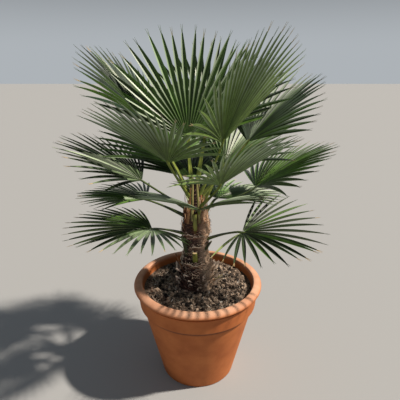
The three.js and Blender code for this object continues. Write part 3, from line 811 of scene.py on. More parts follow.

# %% [markdown]
# Fan blades
#
# A fan leaf is one pleated sheet near its hub and splits into free leaflets further out. Every leaflet is
# folded like an open book, with its rib at the bottom of the fold, is widest about half way and ends in a
# short forked, often dry, tip. The ribs are worked out by the same rule as the solid blade. The sweep tree
# then carries a thin folded section along each rib: near the hub the folds fill the whole angle between
# ribs and meet as pleats.

# %% Leaf colours
# A palm leaf has a waxy skin, a half gloss, over fine lengthwise veins, with a pale rib and pale margins.
# The greens are plain colours dealt out by leaflet, each with its roughness. Some are painted light: the
# shine and the silver are painted sheen, the bright, pale and lit underside greens paint sunlight on and
# through the leaf, and the dark green paints shade.
LEAF_TINTS = {
    "dark": ("#1b2d0c", 0.6),
    "deep": ("#30471a", 0.34),
    "mid": ("#446324", 0.34),
    "bright": ("#56792a", 0.34),
    "olive": ("#52662b", 0.38),
    "teal": ("#213727", 0.6),
    "silver_sheen": ("#84957f", 0.36),
    "painted_sheen": ("#a9b6a0", 0.36),
    "pale": ("#84955a", 0.42),
    "soft": ("#67795a", 0.38),
    "under": ("#4d6033", 0.50),
    "under_olive": ("#536831", 0.42),
    "under_lit": ("#667c44", 0.45),
    "dry": ("#9c8964", 0.85),
}
print("leaf colours:", len(LEAF_TINTS))

# %% Leaf green and painted sheen
# The sheen is painted: one half of each leaflet is lightened towards a pale wax tone, a painted highlight
# that gives the eye a light and a dark stripe.
VEIN_SHADE = 0.12
LEAF_CLOUD = 30 * MM
SHEEN_TONE = "#b9c9b4"
SHEEN_SHARE = 0.55


def leaf_green(tree, hex_colour, vein):
    """The plain green, shaded by soft clouds, by the veins and by the leaflet's own tone."""
    place = add(tree, "ShaderNodeTexCoord").outputs["Object"]
    clouds = add(tree, "ShaderNodeTexNoise", {}, {"Vector": place, "Scale": 1 / LEAF_CLOUD, "Detail": 3})
    shade = add(tree, "ShaderNodeMapRange", {}, {
        "Value": clouds, "From Min": 0.3, "From Max": 0.7, "To Min": 0.72, "To Max": 1.25})
    lighter = add(tree, "ShaderNodeMath", {"operation": "MULTIPLY_ADD"}, {0: vein, 1: VEIN_SHADE, 2: shade})
    tone = add(tree, "ShaderNodeAttribute", {"attribute_name": "tone"})
    toned = add(tree, "ShaderNodeMath", {"operation": "MULTIPLY"}, {0: lighter, 1: tone.outputs["Fac"]})
    return add(tree, "ShaderNodeVectorMath", {"operation": "SCALE"}, {
        0: linear(hex_colour)[:3], "Scale": toned})


def leaf_wax(tree, across):
    """How much painted sheen shows: on one half of the leaflet, and more of it further out."""
    sheen_side = add(tree, "ShaderNodeAttribute", {"attribute_name": "sheen_side"})
    towards = add(tree, "ShaderNodeMath", {"operation": "MULTIPLY"}, {0: across, 1: sheen_side.outputs["Fac"]})
    half = add(tree, "ShaderNodeMapRange", {"interpolation_type": "SMOOTHSTEP"}, {
        "Value": towards, "From Min": 0.25, "From Max": 0.6, "To Min": 0, "To Max": SHEEN_SHARE})
    outward = add(tree, "ShaderNodeAttribute", {"attribute_name": "outward"})
    outer = add(tree, "ShaderNodeMapRange", {"interpolation_type": "SMOOTHSTEP"}, {
        "Value": outward.outputs["Fac"], "From Min": 0.2, "From Max": 0.65, "To Min": 0.12, "To Max": 1})
    return add(tree, "ShaderNodeMath", {"operation": "MULTIPLY"}, {0: half, 1: outer})


print("wax covers up to", SHEEN_SHARE, "of the green")

# %% Leaf finishes
# The veins are drawn three to a half leaflet, coarser than the real ones, so that they show.
VEINS = 3
MARGIN_SHARE = 0.2
RIB_SHARE = 0.35


def leaf_finish(name, hex_colour, roughness):
    """A waxy leaf skin with lengthwise veins, a pale rib, pale margins and a painted sheen on one half."""
    material, tree = new_material(name)
    across = add(tree, "ShaderNodeAttribute", {"attribute_name": "across"}).outputs["Fac"]
    phase = add(tree, "ShaderNodeMath", {"operation": "MULTIPLY"}, {0: across, 1: VEINS * 2 * math.pi})
    vein = add(tree, "ShaderNodeMath", {"operation": "COSINE"}, {0: phase})
    out = add(tree, "ShaderNodeMath", {"operation": "ABSOLUTE"}, {0: across})
    margin = add(tree, "ShaderNodeMapRange", {"interpolation_type": "SMOOTHSTEP"}, {
        "Value": out, "From Min": 0.86, "From Max": 1, "To Min": 0, "To Max": MARGIN_SHARE})
    rib = add(tree, "ShaderNodeMapRange", {"interpolation_type": "SMOOTHSTEP"}, {
        "Value": out, "From Min": 0, "From Max": 0.09, "To Min": RIB_SHARE, "To Max": 0})
    lines = add(tree, "ShaderNodeMath", {"operation": "MAXIMUM"}, {0: margin, 1: rib})
    # The pale rib and margins, and the painted sheen on one half of the leaflet.
    pale = add(tree, "ShaderNodeMath", {"operation": "MAXIMUM"}, {0: lines, 1: leaf_wax(tree, across)})
    colour = add(tree, "ShaderNodeMix", {"data_type": "RGBA"}, {
        "Factor": pale, 6: leaf_green(tree, hex_colour, vein), 7: linear(SHEEN_TONE)})
    bump = add(tree, "ShaderNodeBump", {}, {"Height": vein, "Strength": 0.25, "Distance": 0.3 * MM})
    shader = add(tree, "ShaderNodeBsdfPrincipled", {}, {
        "Base Color": colour.outputs[2], "Roughness": roughness, "IOR": 1.42, "Normal": bump})
    add(tree, "ShaderNodeOutputMaterial", {}, {"Surface": shader})
    return material


leaf_skin = {tint: leaf_finish("leaf skin " + tint, *look) for tint, look in LEAF_TINTS.items()}
print("leaf finishes:", ", ".join(leaf_skin))

# %% Ribs
CLEFT_SHARE = 0.34
WIDEST_SHARE = 0.56
LEAFLET_FILL = 0.78
PLEAT_OVERLAP = 1.04
LEAFLET_EDGE = 0.25
TIP_ROUNDNESS = 1.8
TIP_HALF_WIDTH = 1.1
DROOP_SHARE = 0.08
FORK_SHARE = 0.93
RIB_STEPS = 12
RIB_START = 0.03
RIB_SHARES = np.linspace(RIB_START, FORK_SHARE, RIB_STEPS + 1)


def leaflet_half_width(frond, length):
    """Half widths along a leaflet: the whole room in the pleats, then narrower, then down to the tip."""
    room = math.radians(frond["spread"]) / frond["leaflets"]
    cleft = frond.get("cleft", CLEFT_SHARE)
    fill = frond.get("fill", LEAFLET_FILL)
    pleat = RIB_SHARES * length * math.tan(room / 2) * PLEAT_OVERLAP
    opened = np.interp(RIB_SHARES, (cleft, WIDEST_SHARE), (1, fill / PLEAT_OVERLAP))
    widest = WIDEST_SHARE * length * math.tan(room / 2) * fill
    tip = np.clip((RIB_SHARES - WIDEST_SHARE) / (1 - WIDEST_SHARE), 0, 1)
    narrowed = np.maximum(widest * (1 - tip**TIP_ROUNDNESS), TIP_HALF_WIDTH)
    return np.where(RIB_SHARES < WIDEST_SHARE, pleat * opened, narrowed) + LEAFLET_EDGE


def rib_points(frond, angle, length):
    """Points along one rib, by the rule of the solid blade, with its sideways and upward directions."""
    forward, upper, across = blade_axes(frond["aim"])
    cup = math.radians(frond["cup"])
    turn = math.sin(angle)
    along = forward * math.cos(angle) + across * turn * math.cos(cup) + upper * abs(turn) * math.sin(cup)
    sideways = unit(across * math.cos(angle) * math.cos(cup) - forward * turn)
    upright = unit(np.cross(sideways, along))
    distance = (RIB_SHARES * length)[:, None]
    sag = UP * DROOP_SHARE * frond["blade"] * (distance / frond["blade"]) ** 2
    return around_axis(*frond["hub"]) + along * distance - sag, sideways, upright


widest = max(2 * leaflet_half_width(frond, frond["blade"]).max() for frond in FRONDS.values())
print("widest leaflet across its fold:", round(widest), "mm")

# %% Room for the leaflets
SHORTER = (0.85, 0.7, 0.55, 0.4, 0.25, 0.12)
CLEARANCE = 2.5
FIRST_TESTED = 2


def search_tree(names):
    """One search tree over the faces of several solids, in metres."""
    points = []
    faces = []
    for name in names:
        mesh = frame["nodes"][name].data
        first = len(points)
        points += [vertex.co.copy() for vertex in mesh.vertices]
        faces += [[first + corner for corner in face.vertices] for face in mesh.polygons]
    return BVHTree.FromPolygons(points, faces)


def free_share(points, half_widths, obstacles):
    """How much of a leaflet is clear of what stands in its way."""
    places = [Vector(point) * MM for point in points]
    for place in range(FIRST_TESTED, len(places)):
        reach = (half_widths[place] + CLEARANCE) * MM
        step = places[place] - places[place - 1]
        near = obstacles.find_nearest(places[place], reach)[0] is not None
        if near or obstacles.ray_cast(places[place - 1], step.normalized(), step.length)[0] is not None:
            return (place - 1) / (len(places) - 1)
    return 1


def fitted_length(frond, angle, length, obstacles):
    """The length at which a leaflet is clear of everything, or 0 where nothing of it is."""
    free = free_share(rib_points(frond, angle, length)[0], leaflet_half_width(frond, length), obstacles)
    if free == 1:
        return length
    return length * max((share for share in SHORTER if share <= free), default=0)


print("a leaflet keeps", CLEARANCE, "mm clear, or is made", SHORTER[0], "as long or less")

# %% What sets a leaflet apart
LENGTH_SPREAD = 0.03
BEND_SPREAD = 0.018
TWIST_SPREAD = math.radians(20)
TIP_DROOP_SPREAD = 0.03
SECOND_TINT_SHARE = 0.3
SUNLIT_TINT_SHARE = 0.75
DRY_SHARE = 0.4
draws = np.random.default_rng(53)


def deal_leaflet():
    """What sets one leaflet apart, always drawn in the same order."""
    return {
        "longer": draws.uniform(-LENGTH_SPREAD, LENGTH_SPREAD),
        "bend": draws.uniform(-BEND_SPREAD, BEND_SPREAD),
        "twist": draws.uniform(-TWIST_SPREAD, TWIST_SPREAD),
        "droop": draws.uniform(0, TIP_DROOP_SPREAD),
        "deal": draws.random(),
        "dry": draws.random() < DRY_SHARE}


def leaflet_tint(frond, angle, deal):
    """Which of the fan's three tints a leaflet gets."""
    # Within the sunlit range, the third tint is painted light: sunlit, glinting leaflets.
    sunlit_from, sunlit_to = np.radians(frond.get("sunlit_range", (0, 0)))
    if sunlit_from < angle < sunlit_to and deal < SUNLIT_TINT_SHARE:
        return 2
    return 1 if deal < SECOND_TINT_SHARE else 0


print("dry tips on", DRY_SHARE, "of the leaflets")

# %% One leaflet
STUNTED_SHARE = 0.3
LEAST_TONE = 0.62
TONE_SPREAD = 0.8
PRONG_SHARES = np.linspace(-0.15, 1, 4)[:, None]  # a prong starts inside the end of its leaflet
PRONG_HALF_WIDTHS = (0.9, 0.9, 0.6, 0.25)
PRONGS_APART = 0.5
PRONG_SPLAY = 0.1


def bent_rib(frond, angle, length, own):
    """A leaflet's rib and uprights, with its own bend, droop and twist past the cleft."""
    points, sideways, upright = rib_points(frond, angle, length)
    cleft = frond.get("cleft", CLEFT_SHARE)
    outer = np.clip((RIB_SHARES - cleft) / (1 - cleft), 0, 1)[:, None]
    points = points + sideways * own["bend"] * length * outer**2 - UP * own["droop"] * length * outer**2
    return points, upright * np.cos(own["twist"] * outer) + sideways * np.sin(own["twist"] * outer)


def add_leaflet(lines, frond, angle, obstacles):
    """Adds a leaflet's rib and the two prongs of its tip, and says whether it had to be shorter."""
    own = deal_leaflet()
    length = frond["blade"] * (1 - frond["taper"] * (angle / math.pi) ** 2) * (1 + own["longer"])
    if abs(angle) < math.radians(frond.get("bare_middle", 0)):
        length *= STUNTED_SHARE
    fitted = fitted_length(frond, angle, length, obstacles)
    if fitted > 0:
        tint = leaflet_tint(frond, angle, own["deal"])
        sheen_side = frond.get("sheen_side", 1)
        # The start of the deal has picked the tint, so the digits after its first one set the tone.
        tone = LEAST_TONE + TONE_SPREAD * (own["deal"] * 10 % 1)
        points, ups = bent_rib(frond, angle, fitted, own)
        lines.add_line(points, ups, leaflet_half_width(frond, fitted), tint, 0, RIB_SHARES, sheen_side, tone)
        heading = unit(points[-1] - points[-2])
        across = unit(np.cross(heading, ups[-1]))
        reach = (1 - FORK_SHARE) * fitted * PRONG_SHARES
        for way in (-1, 1):
            prong = points[-1] + heading * reach + across * way * (PRONGS_APART + PRONG_SPLAY * reach)
            lines.add_line(
                prong, [ups[-1]] * len(prong), PRONG_HALF_WIDTHS, tint, float(own["dry"]), 1, sheen_side, tone)
    return fitted < length


print("the top fan's longest forks are", round((1 - FORK_SHARE) * FRONDS["top_centre"]["blade"]), "mm long")

# %% Grow the fans
shortened = 0
for name, frond in FRONDS.items():
    others = ["stalk_" + other for other in FRONDS if other != name]
    obstacles = search_tree(["trunk", "pot", "compost"] + others)
    lines = Lines()
    for index in range(frond["leaflets"]):
        angle = math.radians(frond["spread"]) * ((index + 0.5) / frond["leaflets"] - 0.5)
        shortened += add_leaflet(lines, frond, angle, obstacles)
    blade = lines.piece("fan_blade_" + name)
    first, second, third = (leaf_skin[tint] for tint in frond["tints"])
    grow(blade, SWEEP, {
        "Section": leaflet_section, "First tint": first, "Second tint": second, "Third tint": third,
        "Underside": leaf_skin[frond.get("under", "under")], "End": leaf_skin["dry"]})
    smooth_below(blade, 24)
    hand_over(blade, "leaf", "frond_" + name)
print("leaflets made shorter:", shortened)

# %% [markdown]
# Compost
#
# The pot is filled to a thumb's width below the lip with dark peaty compost, a little higher round the
# trunk. It is a closed turned body whose upper face is divided finely and pushed up and down by noise,
# coarse clods first and crumbs on top.

# %% Compost finish
# Moist peat and composted bark: dark brown, dull, with tan crumbs and a little moss.
CRUMB_SIZE = 6 * MM

peat, tree = new_material("moist peaty compost")
place = add(tree, "ShaderNodeTexCoord").outputs["Object"]
crumbs = add(tree, "ShaderNodeTexNoise", {}, {
    "Vector": place, "Scale": 1 / CRUMB_SIZE, "Detail": 6, "Roughness": 0.7})
soil = add(tree, "ShaderNodeValToRGB", {}, {"Fac": crumbs})
set_stops(soil, (0.38, "#120e0c"), (0.62, "#8a7666"))
moss = add(tree, "ShaderNodeAttribute", {"attribute_name": "moss"})
greened = add(tree, "ShaderNodeMix", {"data_type": "RGBA"}, {
    "Factor": moss.outputs["Fac"], 6: soil, 7: linear("#6b6a35")})
bump = add(tree, "ShaderNodeBump", {}, {"Height": crumbs, "Strength": 0.8, "Distance": 3 * MM})
shader = add(tree, "ShaderNodeBsdfPrincipled", {}, {
    "Base Color": greened.outputs[2], "Roughness": 0.95, "Normal": bump})
add(tree, "ShaderNodeOutputMaterial", {}, {"Surface": shader})
print("compost has", len(tree.nodes), "nodes")

# %% Compost outline
COMPOST_RADII = (0, 68, 92, 144.4, 180.6)
COMPOST_HEIGHTS = (346, 346, 343, 341, 338)
COMPOST_BOTTOM = FLOOR_THICKNESS + 0.3
WALL_GAP = 0.45
COMPOST_RINGS = 62
COMPOST_SIDES = 150


def inner_wall_radius(height):
    """The radius of the pot's inner wall at a height."""
    share = (height - FLOOR_THICKNESS) / (POT_HEIGHT - MOUTH_ROUND - FLOOR_THICKNESS)
    return FLOOR_RADIUS + (MOUTH_RADIUS - FLOOR_RADIUS) * share


edge_radius = inner_wall_radius(COMPOST_HEIGHTS[-1]) - WALL_GAP
radii = np.linspace(edge_radius, 0, COMPOST_RINGS + 1)
top = [(radius, float(np.interp(radius, COMPOST_RADII, COMPOST_HEIGHTS))) for radius in radii]
outline = [(0, COMPOST_BOTTOM), (inner_wall_radius(COMPOST_BOTTOM) - WALL_GAP, COMPOST_BOTTOM)] + top
print("compost is", round(2 * edge_radius), "mm across")

# %% Compost body
CLOD_SIZE = 34
CLOD_RISE = 11
CLOD_NOISE = (0.8, 2.2, 4)  # how smooth, how much finer each layer is, and how many layers
GRIT_SIZE = 7
GRIT_RISE = 1.6
EDGE_FADE = 12
TRUNK_CALM = 48
TRUNK_FADE = 14
MOSS_PLACE = (70, 40)
MOSS_REACH = 24
MOSS_MOST = 0.55

points, faces = lathe(outline, COMPOST_SIDES)
points = np.array(points)
upper_face = points[:, 2] > COMPOST_BOTTOM + 1
radius = np.hypot(points[:, 0], points[:, 1])
fade = np.clip((edge_radius - radius) / EDGE_FADE, 0, 1) * np.clip((radius - TRUNK_CALM) / TRUNK_FADE, 0, 1)
clods = np.array([noise.fractal(Vector(point / CLOD_SIZE), *CLOD_NOISE) for point in points])
grit = np.array([noise.noise(Vector(point / GRIT_SIZE)) for point in points])
points[:, 2] += np.where(upper_face, fade * (CLOD_RISE * clods + GRIT_RISE * grit), 0)
compost = piece_from("compost_fill", points, faces, [peat])
off_moss = (points[:, 0] - MOSS_PLACE[0]) ** 2 + (points[:, 1] - MOSS_PLACE[1]) ** 2
mark_points(compost, "moss", MOSS_MOST * np.exp(-off_moss / MOSS_REACH**2))
smooth_below(compost, 40)
hand_over(compost, "compost", "compost")

# %% [markdown]
# Chips and crumbs on the compost
#
# What shows of a potting mix is its coarse part: chips of bark, paler bits of wood and small crumbs.
# Placing hundreds of them by hand would be dull, so a tree of nodes scatters a few shapes over
# the upper face, turns and scales each by a seeded draw, and makes them one mesh.

# %% Copies on points
MOST_PICK = 60  # past the last shape, the picks start again from the first


def finish_with_copies(tree, given, points, rotation, scale):
    """Sets one of the given shapes, picked by the seed, on every point, and ends the tree."""
    shapes = add(tree, "GeometryNodeCollectionInfo", {}, {
        "Collection": given["Shapes"], "Separate Children": True, "Reset Children": True})
    pick = add(tree, "FunctionNodeRandomValue", {"data_type": "INT"}, {
        4: 0, 5: MOST_PICK, "Seed": given["Seed"]})
    copies = add(tree, "GeometryNodeInstanceOnPoints", {}, {
        "Points": points, "Instance": shapes, "Pick Instance": True, "Instance Index": pick.outputs[2],
        "Rotation": rotation, "Scale": scale})
    add(tree, "NodeGroupOutput", {}, {0: realized(tree, copies, given["Finish"])})

# %% The scatter tree
def scatter_tree():
    """Scatters the shapes of a collection over a surface."""
    tree, given = new_tree("scattered shapes", {
        "Shapes": "Collection", "Finish": "Material", "Density": "Float", "Least size": "Float",
        "Most size": "Float", "Tilt": "Float", "Spin": "Float", "Seed": "Int"})
    seed = given["Seed"]
    tilt = given["Tilt"]
    spin = given["Spin"]
    places = add(tree, "GeometryNodeDistributePointsOnFaces", {}, {
        "Mesh": given["Geometry"], "Density": given["Density"], "Seed": seed})
    least_tilt = add(tree, "ShaderNodeMath", {"operation": "MULTIPLY"}, {0: tilt, 1: -1})
    least_spin = add(tree, "ShaderNodeMath", {"operation": "MULTIPLY"}, {0: spin, 1: -1})
    low = add(tree, "ShaderNodeCombineXYZ", {}, {"X": least_tilt, "Y": least_tilt, "Z": least_spin})
    high = add(tree, "ShaderNodeCombineXYZ", {}, {"X": tilt, "Y": tilt, "Z": spin})
    angles = add(tree, "FunctionNodeRandomValue", {"data_type": "FLOAT_VECTOR"}, {
        "Min": low, "Max": high, "Seed": seed})
    own_turn = add(tree, "FunctionNodeEulerToRotation", {}, {"Euler": angles})
    turned = add(tree, "FunctionNodeRotateRotation", {"rotation_space": "LOCAL"}, {
        "Rotation": places.outputs["Rotation"], "Rotate By": own_turn})
    size = add(tree, "FunctionNodeRandomValue", {"data_type": "FLOAT"}, {
        2: given["Least size"], 3: given["Most size"], "Seed": seed})
    finish_with_copies(tree, given, places, turned, size.outputs[1])
    return tree


SCATTER = scatter_tree()
print("the scatter tree has", len(SCATTER.nodes), "nodes")

# %% Chip shapes
CHIP_LAYERS = ((-0.5, 0.75), (0, 1), (0.5, 0.7))  # height in thicknesses, and share of the full outline
CORNER_JITTER = 0.3
LEAST_REACH = 0.7
FACE_JITTER = 0.2
chip_draws = np.random.default_rng(8)


def chip(name, sides, length, width, thickness):
    """A flat, irregular prism, widest in the middle of its thickness."""
    jitter = chip_draws.uniform(-CORNER_JITTER, CORNER_JITTER, sides)
    angles = (np.arange(sides) + jitter) * 2 * math.pi / sides
    reach = chip_draws.uniform(LEAST_REACH, 1, sides)
    rim = np.stack([np.cos(angles) * reach * length / 2, np.sin(angles) * reach * width / 2], 1)
    points = []
    for height, shrink in CHIP_LAYERS:
        jitter = chip_draws.uniform(-FACE_JITTER, FACE_JITTER, sides)
        points += [(x * shrink, y * shrink, thickness * (height + j)) for (x, y), j in zip(rim, jitter)]
    faces = [list(range(sides))[::-1], list(range(2 * sides, 3 * sides))]
    for ring in (0, sides):
        faces += [
            [ring + side, ring + (side + 1) % sides, ring + sides + (side + 1) % sides, ring + sides + side]
            for side in range(sides)]
    return piece_from(name, points, faces)


def shape_set(name, make, rows):
    """A collection of shapes for a tree to pick from, one for each row of sizes."""
    shapes = bpy.data.collections.new(name)
    for number, row in enumerate(rows):
        shapes.objects.link(make(name + "_" + str(number), *row))
    return shapes


def forget(shapes):
    """Removes the shapes of a collection once their copies are made."""
    for shape in list(shapes.objects):
        bpy.data.objects.remove(shape)
    bpy.data.collections.remove(shapes)


long_chips = shape_set("long_chip", chip, [(6, 22, 9, 3.5)] * 5)
round_chips = shape_set("round_chip", chip, [(6, 13, 11, 8)] * 5)
shred_shapes = shape_set("shred", chip, [(6, 27, 4.4, 2.2)] * 5)
crumb_shapes = shape_set("crumb", chip, [(5, 6, 5, 4)] * 4)
chip_sets = (long_chips, round_chips, shred_shapes, crumb_shapes)

# %% Chip finishes
# Composted bark and wood: dull, with a darker and a paler side to the grain. The last value is how far the
# grain's patches are apart in millimetres, so that one chip is dark and the next one pale.
def chip_finish(name, dark_hex, light_hex, patch):
    """A dull grained finish between a dark and a light tone."""
    material, tree = new_material(name)
    place = add(tree, "ShaderNodeTexCoord").outputs["Object"]
    tone = add(tree, "ShaderNodeTexNoise", {}, {"Vector": place, "Scale": 1 / (patch * MM), "Detail": 3})
    colour = add(tree, "ShaderNodeValToRGB", {}, {"Fac": tone})
    set_stops(colour, (0.4, dark_hex), (0.62, light_hex))
    bump = add(tree, "ShaderNodeBump", {}, {"Height": tone, "Strength": 0.5, "Distance": 1 * MM})
    shader = add(tree, "ShaderNodeBsdfPrincipled", {}, {
        "Base Color": colour, "Roughness": 0.9, "Normal": bump})
    add(tree, "ShaderNodeOutputMaterial", {}, {"Surface": shader})
    return material


bark_chip = chip_finish("composted bark chips", "#2e241d", "#b8a28f", 16)
grey_shred = chip_finish("weathered wood shreds", "#8f877f", "#d6d0c9", 14)
pale_chip = chip_finish("pale wood chips", "#bfb29f", "#f2ebdf", 12)
dark_lump = chip_finish("black peat lumps", "#0b0807", "#3a2f27", 18)
peat_crumb = chip_finish("peat crumbs", "#17120f", "#b4a192", 20)

# %% Scatter them
# Each call gives the pieces to a square metre, their sizes as shares of the shape, a seed, and how far a
# piece may tilt in radians.
UPPER_FACE_DEPTH = 12


def part_of(name, mesh, wanted):
    """A bare copy of the faces of a mesh that are wanted, for a tree to scatter on."""
    points = [vertex.co / MM for vertex in mesh.vertices]
    return piece_from(name, points, [list(face.vertices) for face in mesh.polygons if wanted(face)])


def scatter(name, shapes, finish, density, sizes, seed, tilt, reach=(58, 174)):
    """Scatters shapes over the compost between two radii."""
    held = [vertex.co / MM for vertex in compost.data.vertices]
    chosen = [
        point.z > COMPOST_HEIGHTS[-1] - UPPER_FACE_DEPTH and reach[0] < point.xy.length < reach[1]
        for point in held]
    piece = part_of(name, compost.data, lambda face: all(chosen[corner] for corner in face.vertices))
    grow(piece, SCATTER, {
        "Shapes": shapes, "Finish": finish, "Density": density, "Least size": sizes[0], "Most size": sizes[1],
        "Tilt": tilt, "Spin": math.pi, "Seed": seed})
    hand_over(piece, "compost")


scatter("bark_chips", long_chips, bark_chip, 2600, (0.4, 1.5), 3, 0.5)
scatter("bark_lumps", round_chips, bark_chip, 1300, (0.4, 1.7), 4, 0.8)
scatter("dark_lumps", round_chips, dark_lump, 1900, (0.5, 1.7), 7, 0.8)
scatter("grey_shreds", shred_shapes, grey_shred, 3000, (0.35, 1.1), 8, 0.5)
scatter("pale_chips", shred_shapes, pale_chip, 620, (0.25, 0.75), 5, 0.5)
scatter("peat_crumbs", crumb_shapes, peat_crumb, 9000, (0.4, 1.6), 6, 1.0, (56, 178))
for shapes in chip_sets:
    forget(shapes)

# %% [markdown]
# The trunk: bark, old leaf bases and fibre
#
# The trunk of a fan palm is hidden in what its leaves left behind: overlapping sheaths with ragged lifted
# rims, cut stumps of stalks, and brown woven fibre. The bark is a finely divided turned mesh with a winding
# relief. On it sit sheath plates a golden angle apart, as leaves grow, set by a tree of nodes that picks
# one of a few plates for each place and fits it to the trunk's girth. Loose fibres are scattered over the
# bark.

# %% Bark finishes
# Weathered sheath fibre: matt maroon brown in the hollows, tan where a rim is dry and worn. The side of the
# trunk that the sun reaches is painted paler all over, a painted light, so a mark on the bark carries that
# tone from the shaded side to the lit one.
# The grain of the real fibre is about 5 mm. It is drawn twice as coarse, so that it shows.
FIBRE_GRAIN = 10 * MM
FIBRE_STRETCH = (1, 1, 2.4)
GRAIN_WEIGHT = 0.9
GRAIN_OFFSET = -0.28
SUNLIT_TONE = "#d9bda2"


def fibre_finish(name, hollow_hex, middle_hex, rim_hex):
    """Fibrous brown whose colour follows the rim mark of the mesh."""
    material, tree = new_material(name)
    place = add(tree, "ShaderNodeTexCoord").outputs["Object"]
    stretch = add(tree, "ShaderNodeMapping", {}, {"Vector": place, "Scale": FIBRE_STRETCH})
    grain = add(tree, "ShaderNodeTexNoise", {}, {
        "Vector": stretch, "Scale": 1 / FIBRE_GRAIN, "Detail": 5, "Roughness": 0.7})
    rim = add(tree, "ShaderNodeAttribute", {"attribute_name": "rim"})
    weight = add(tree, "ShaderNodeMath", {"operation": "MULTIPLY_ADD"}, {
        0: grain, 1: GRAIN_WEIGHT, 2: GRAIN_OFFSET})
    height = add(tree, "ShaderNodeMath", {"operation": "ADD"}, {0: weight, 1: rim.outputs["Fac"]})
    colour = add(tree, "ShaderNodeValToRGB", {}, {"Fac": height})
    set_stops(colour, (0.05, hollow_hex), (1, rim_hex), (0.42, middle_hex))
    # Painted light: the side of the trunk that the sun reaches is painted paler.
    sunlit_side = add(tree, "ShaderNodeAttribute", {"attribute_name": "sunlit_side"})
    paler = add(tree, "ShaderNodeMath", {"operation": "MULTIPLY"}, {0: sunlit_side.outputs["Fac"], 1: grain})
    sunlit_fibre = add(tree, "ShaderNodeMix", {"data_type": "RGBA"}, {
        "Factor": paler, 6: colour, 7: linear(SUNLIT_TONE)})
    bump = add(tree, "ShaderNodeBump", {}, {"Height": grain, "Strength": 0.7, "Distance": 1.5 * MM})
    shader = add(tree, "ShaderNodeBsdfPrincipled", {}, {
        "Base Color": sunlit_fibre.outputs[2], "Roughness": 0.88, "Normal": bump})
    add(tree, "ShaderNodeOutputMaterial", {}, {"Surface": shader})
    return material


maroon_bark = fibre_finish("weathered sheath bark", "#150b08", "#4e2f26", "#a88a7a")
old_base = fibre_finish("torn maroon leaf bases", "#150b09", "#54322c", "#d0b9a6")
scale_base = fibre_finish("curled foot scales", "#120a08", "#4a2c28", "#d8c8ba")
tan_base = fibre_finish("torn tan leaf bases", "#3a261d", "#8f6d58", "#ecdcc9")
warm_fibre = fibre_finish("woven warm brown fibre", "#4a2415", "#a86d48", "#e0b48c")
pale_fibre = fibre_finish("bleached fibre", "#8a7462", "#c6b09b", "#efe5d6")
print("fibre grain drawn", round(FIBRE_GRAIN / MM), "mm wide")

# %% Bark relief
# Two old collars of leaf bases stand out from a slimmer trunk: one below the crown and one over the foot.
# The relief is a stack of bands that wind up and down, each lifted towards its broken upper rim, with
# furrows on top.
BARK_HEIGHTS = (TRUNK_FOOT, 380, 400, 436, 446, 460, 478, 517, 541, 550, 570, 600, 632, 654, HEART_TOP)
BARK_RADII = (62, 58, 55, 50, 52, 44, 40.5, 42, 43, 46.5, 46, 42, 36, 25, 12)
BAND_RISE = 9
BAND_LIFT = 3.4
BAND_SEED_STEP = 3.7
WAVES = ((11, 1.5, 45), (4, 5, 16))  # how high, how often round the trunk, and the height of one change
FURROW_DEPTH = 1.4
FURROW_TURNS = 12
FURROW_LENGTH = 18
BREAK_MIDDLE = 0.5
BREAK_SWING = 0.9
BREAK_TURNS = 2.6
LEAST_BREAK = 0.15
RIM_FROM = 0.74
RIM_GAIN = 1.4


def bark_radius(height):
    """How thick the bark is at a height, before its relief."""
    return float(np.interp(height, BARK_HEIGHTS, BARK_RADII))


def noise_round(around, turns, rise):
    """Noise that closes on itself round the trunk."""
    return noise.noise(around * turns + Vector((0, 0, rise)))


def bark_relief(angle, height):
    """How far the bark stands out, and how near it is to a rim, at a place on the trunk."""
    around = Vector((math.cos(angle), math.sin(angle), 0))
    wave = sum(high * noise_round(around, turns, height / length) for high, turns, length in WAVES)
    band, share = divmod((height + wave) / BAND_RISE, 1)
    broken = BREAK_MIDDLE + BREAK_SWING * noise_round(around, BREAK_TURNS, band * BAND_SEED_STEP)
    lift = BAND_LIFT * min(1, max(LEAST_BREAK, broken))
    furrow = noise_round(around, FURROW_TURNS, height / FURROW_LENGTH)
    rim = max(0, share - RIM_FROM) / (1 - RIM_FROM) * min(1, max(0, RIM_GAIN * broken))
    return lift * (share**3 - 0.5) + FURROW_DEPTH * furrow, rim


print("bark is", round(2 * bark_radius(BARK_HEIGHTS[7])), "mm thick half way up")

# %% Painted sunlit side
SUNLIT_TURN = -18
SUNLIT_CORE = 35
SUNLIT_REACH = 75
SUNLIT_MOST = 1.1


def worn_share(x, y):
    """How much painted light a place on the trunk gets: pale on the side that the sun reaches."""
    apart = (math.degrees(math.atan2(y, x)) - SUNLIT_TURN + 180) % 360 - 180
    return SUNLIT_MOST * float(np.interp(abs(apart), (SUNLIT_CORE, SUNLIT_REACH), (1, 0)))


def mark_worn(piece):
    """Marks each point of a piece round the trunk with how much painted light it gets."""
    mark_points(piece, "sunlit_side", [worn_share(vertex.co.x, vertex.co.y) for vertex in piece.data.vertices])


print("the bark is pale for", 2 * SUNLIT_CORE, "degrees round the trunk")

# %% Bark mesh
BARK_SIDES = 144
BARK_STEP = 1.6
BARK_SINK = 1.5
SETTLE_HEIGHT = 12
SETTLE_RADIUS = 30

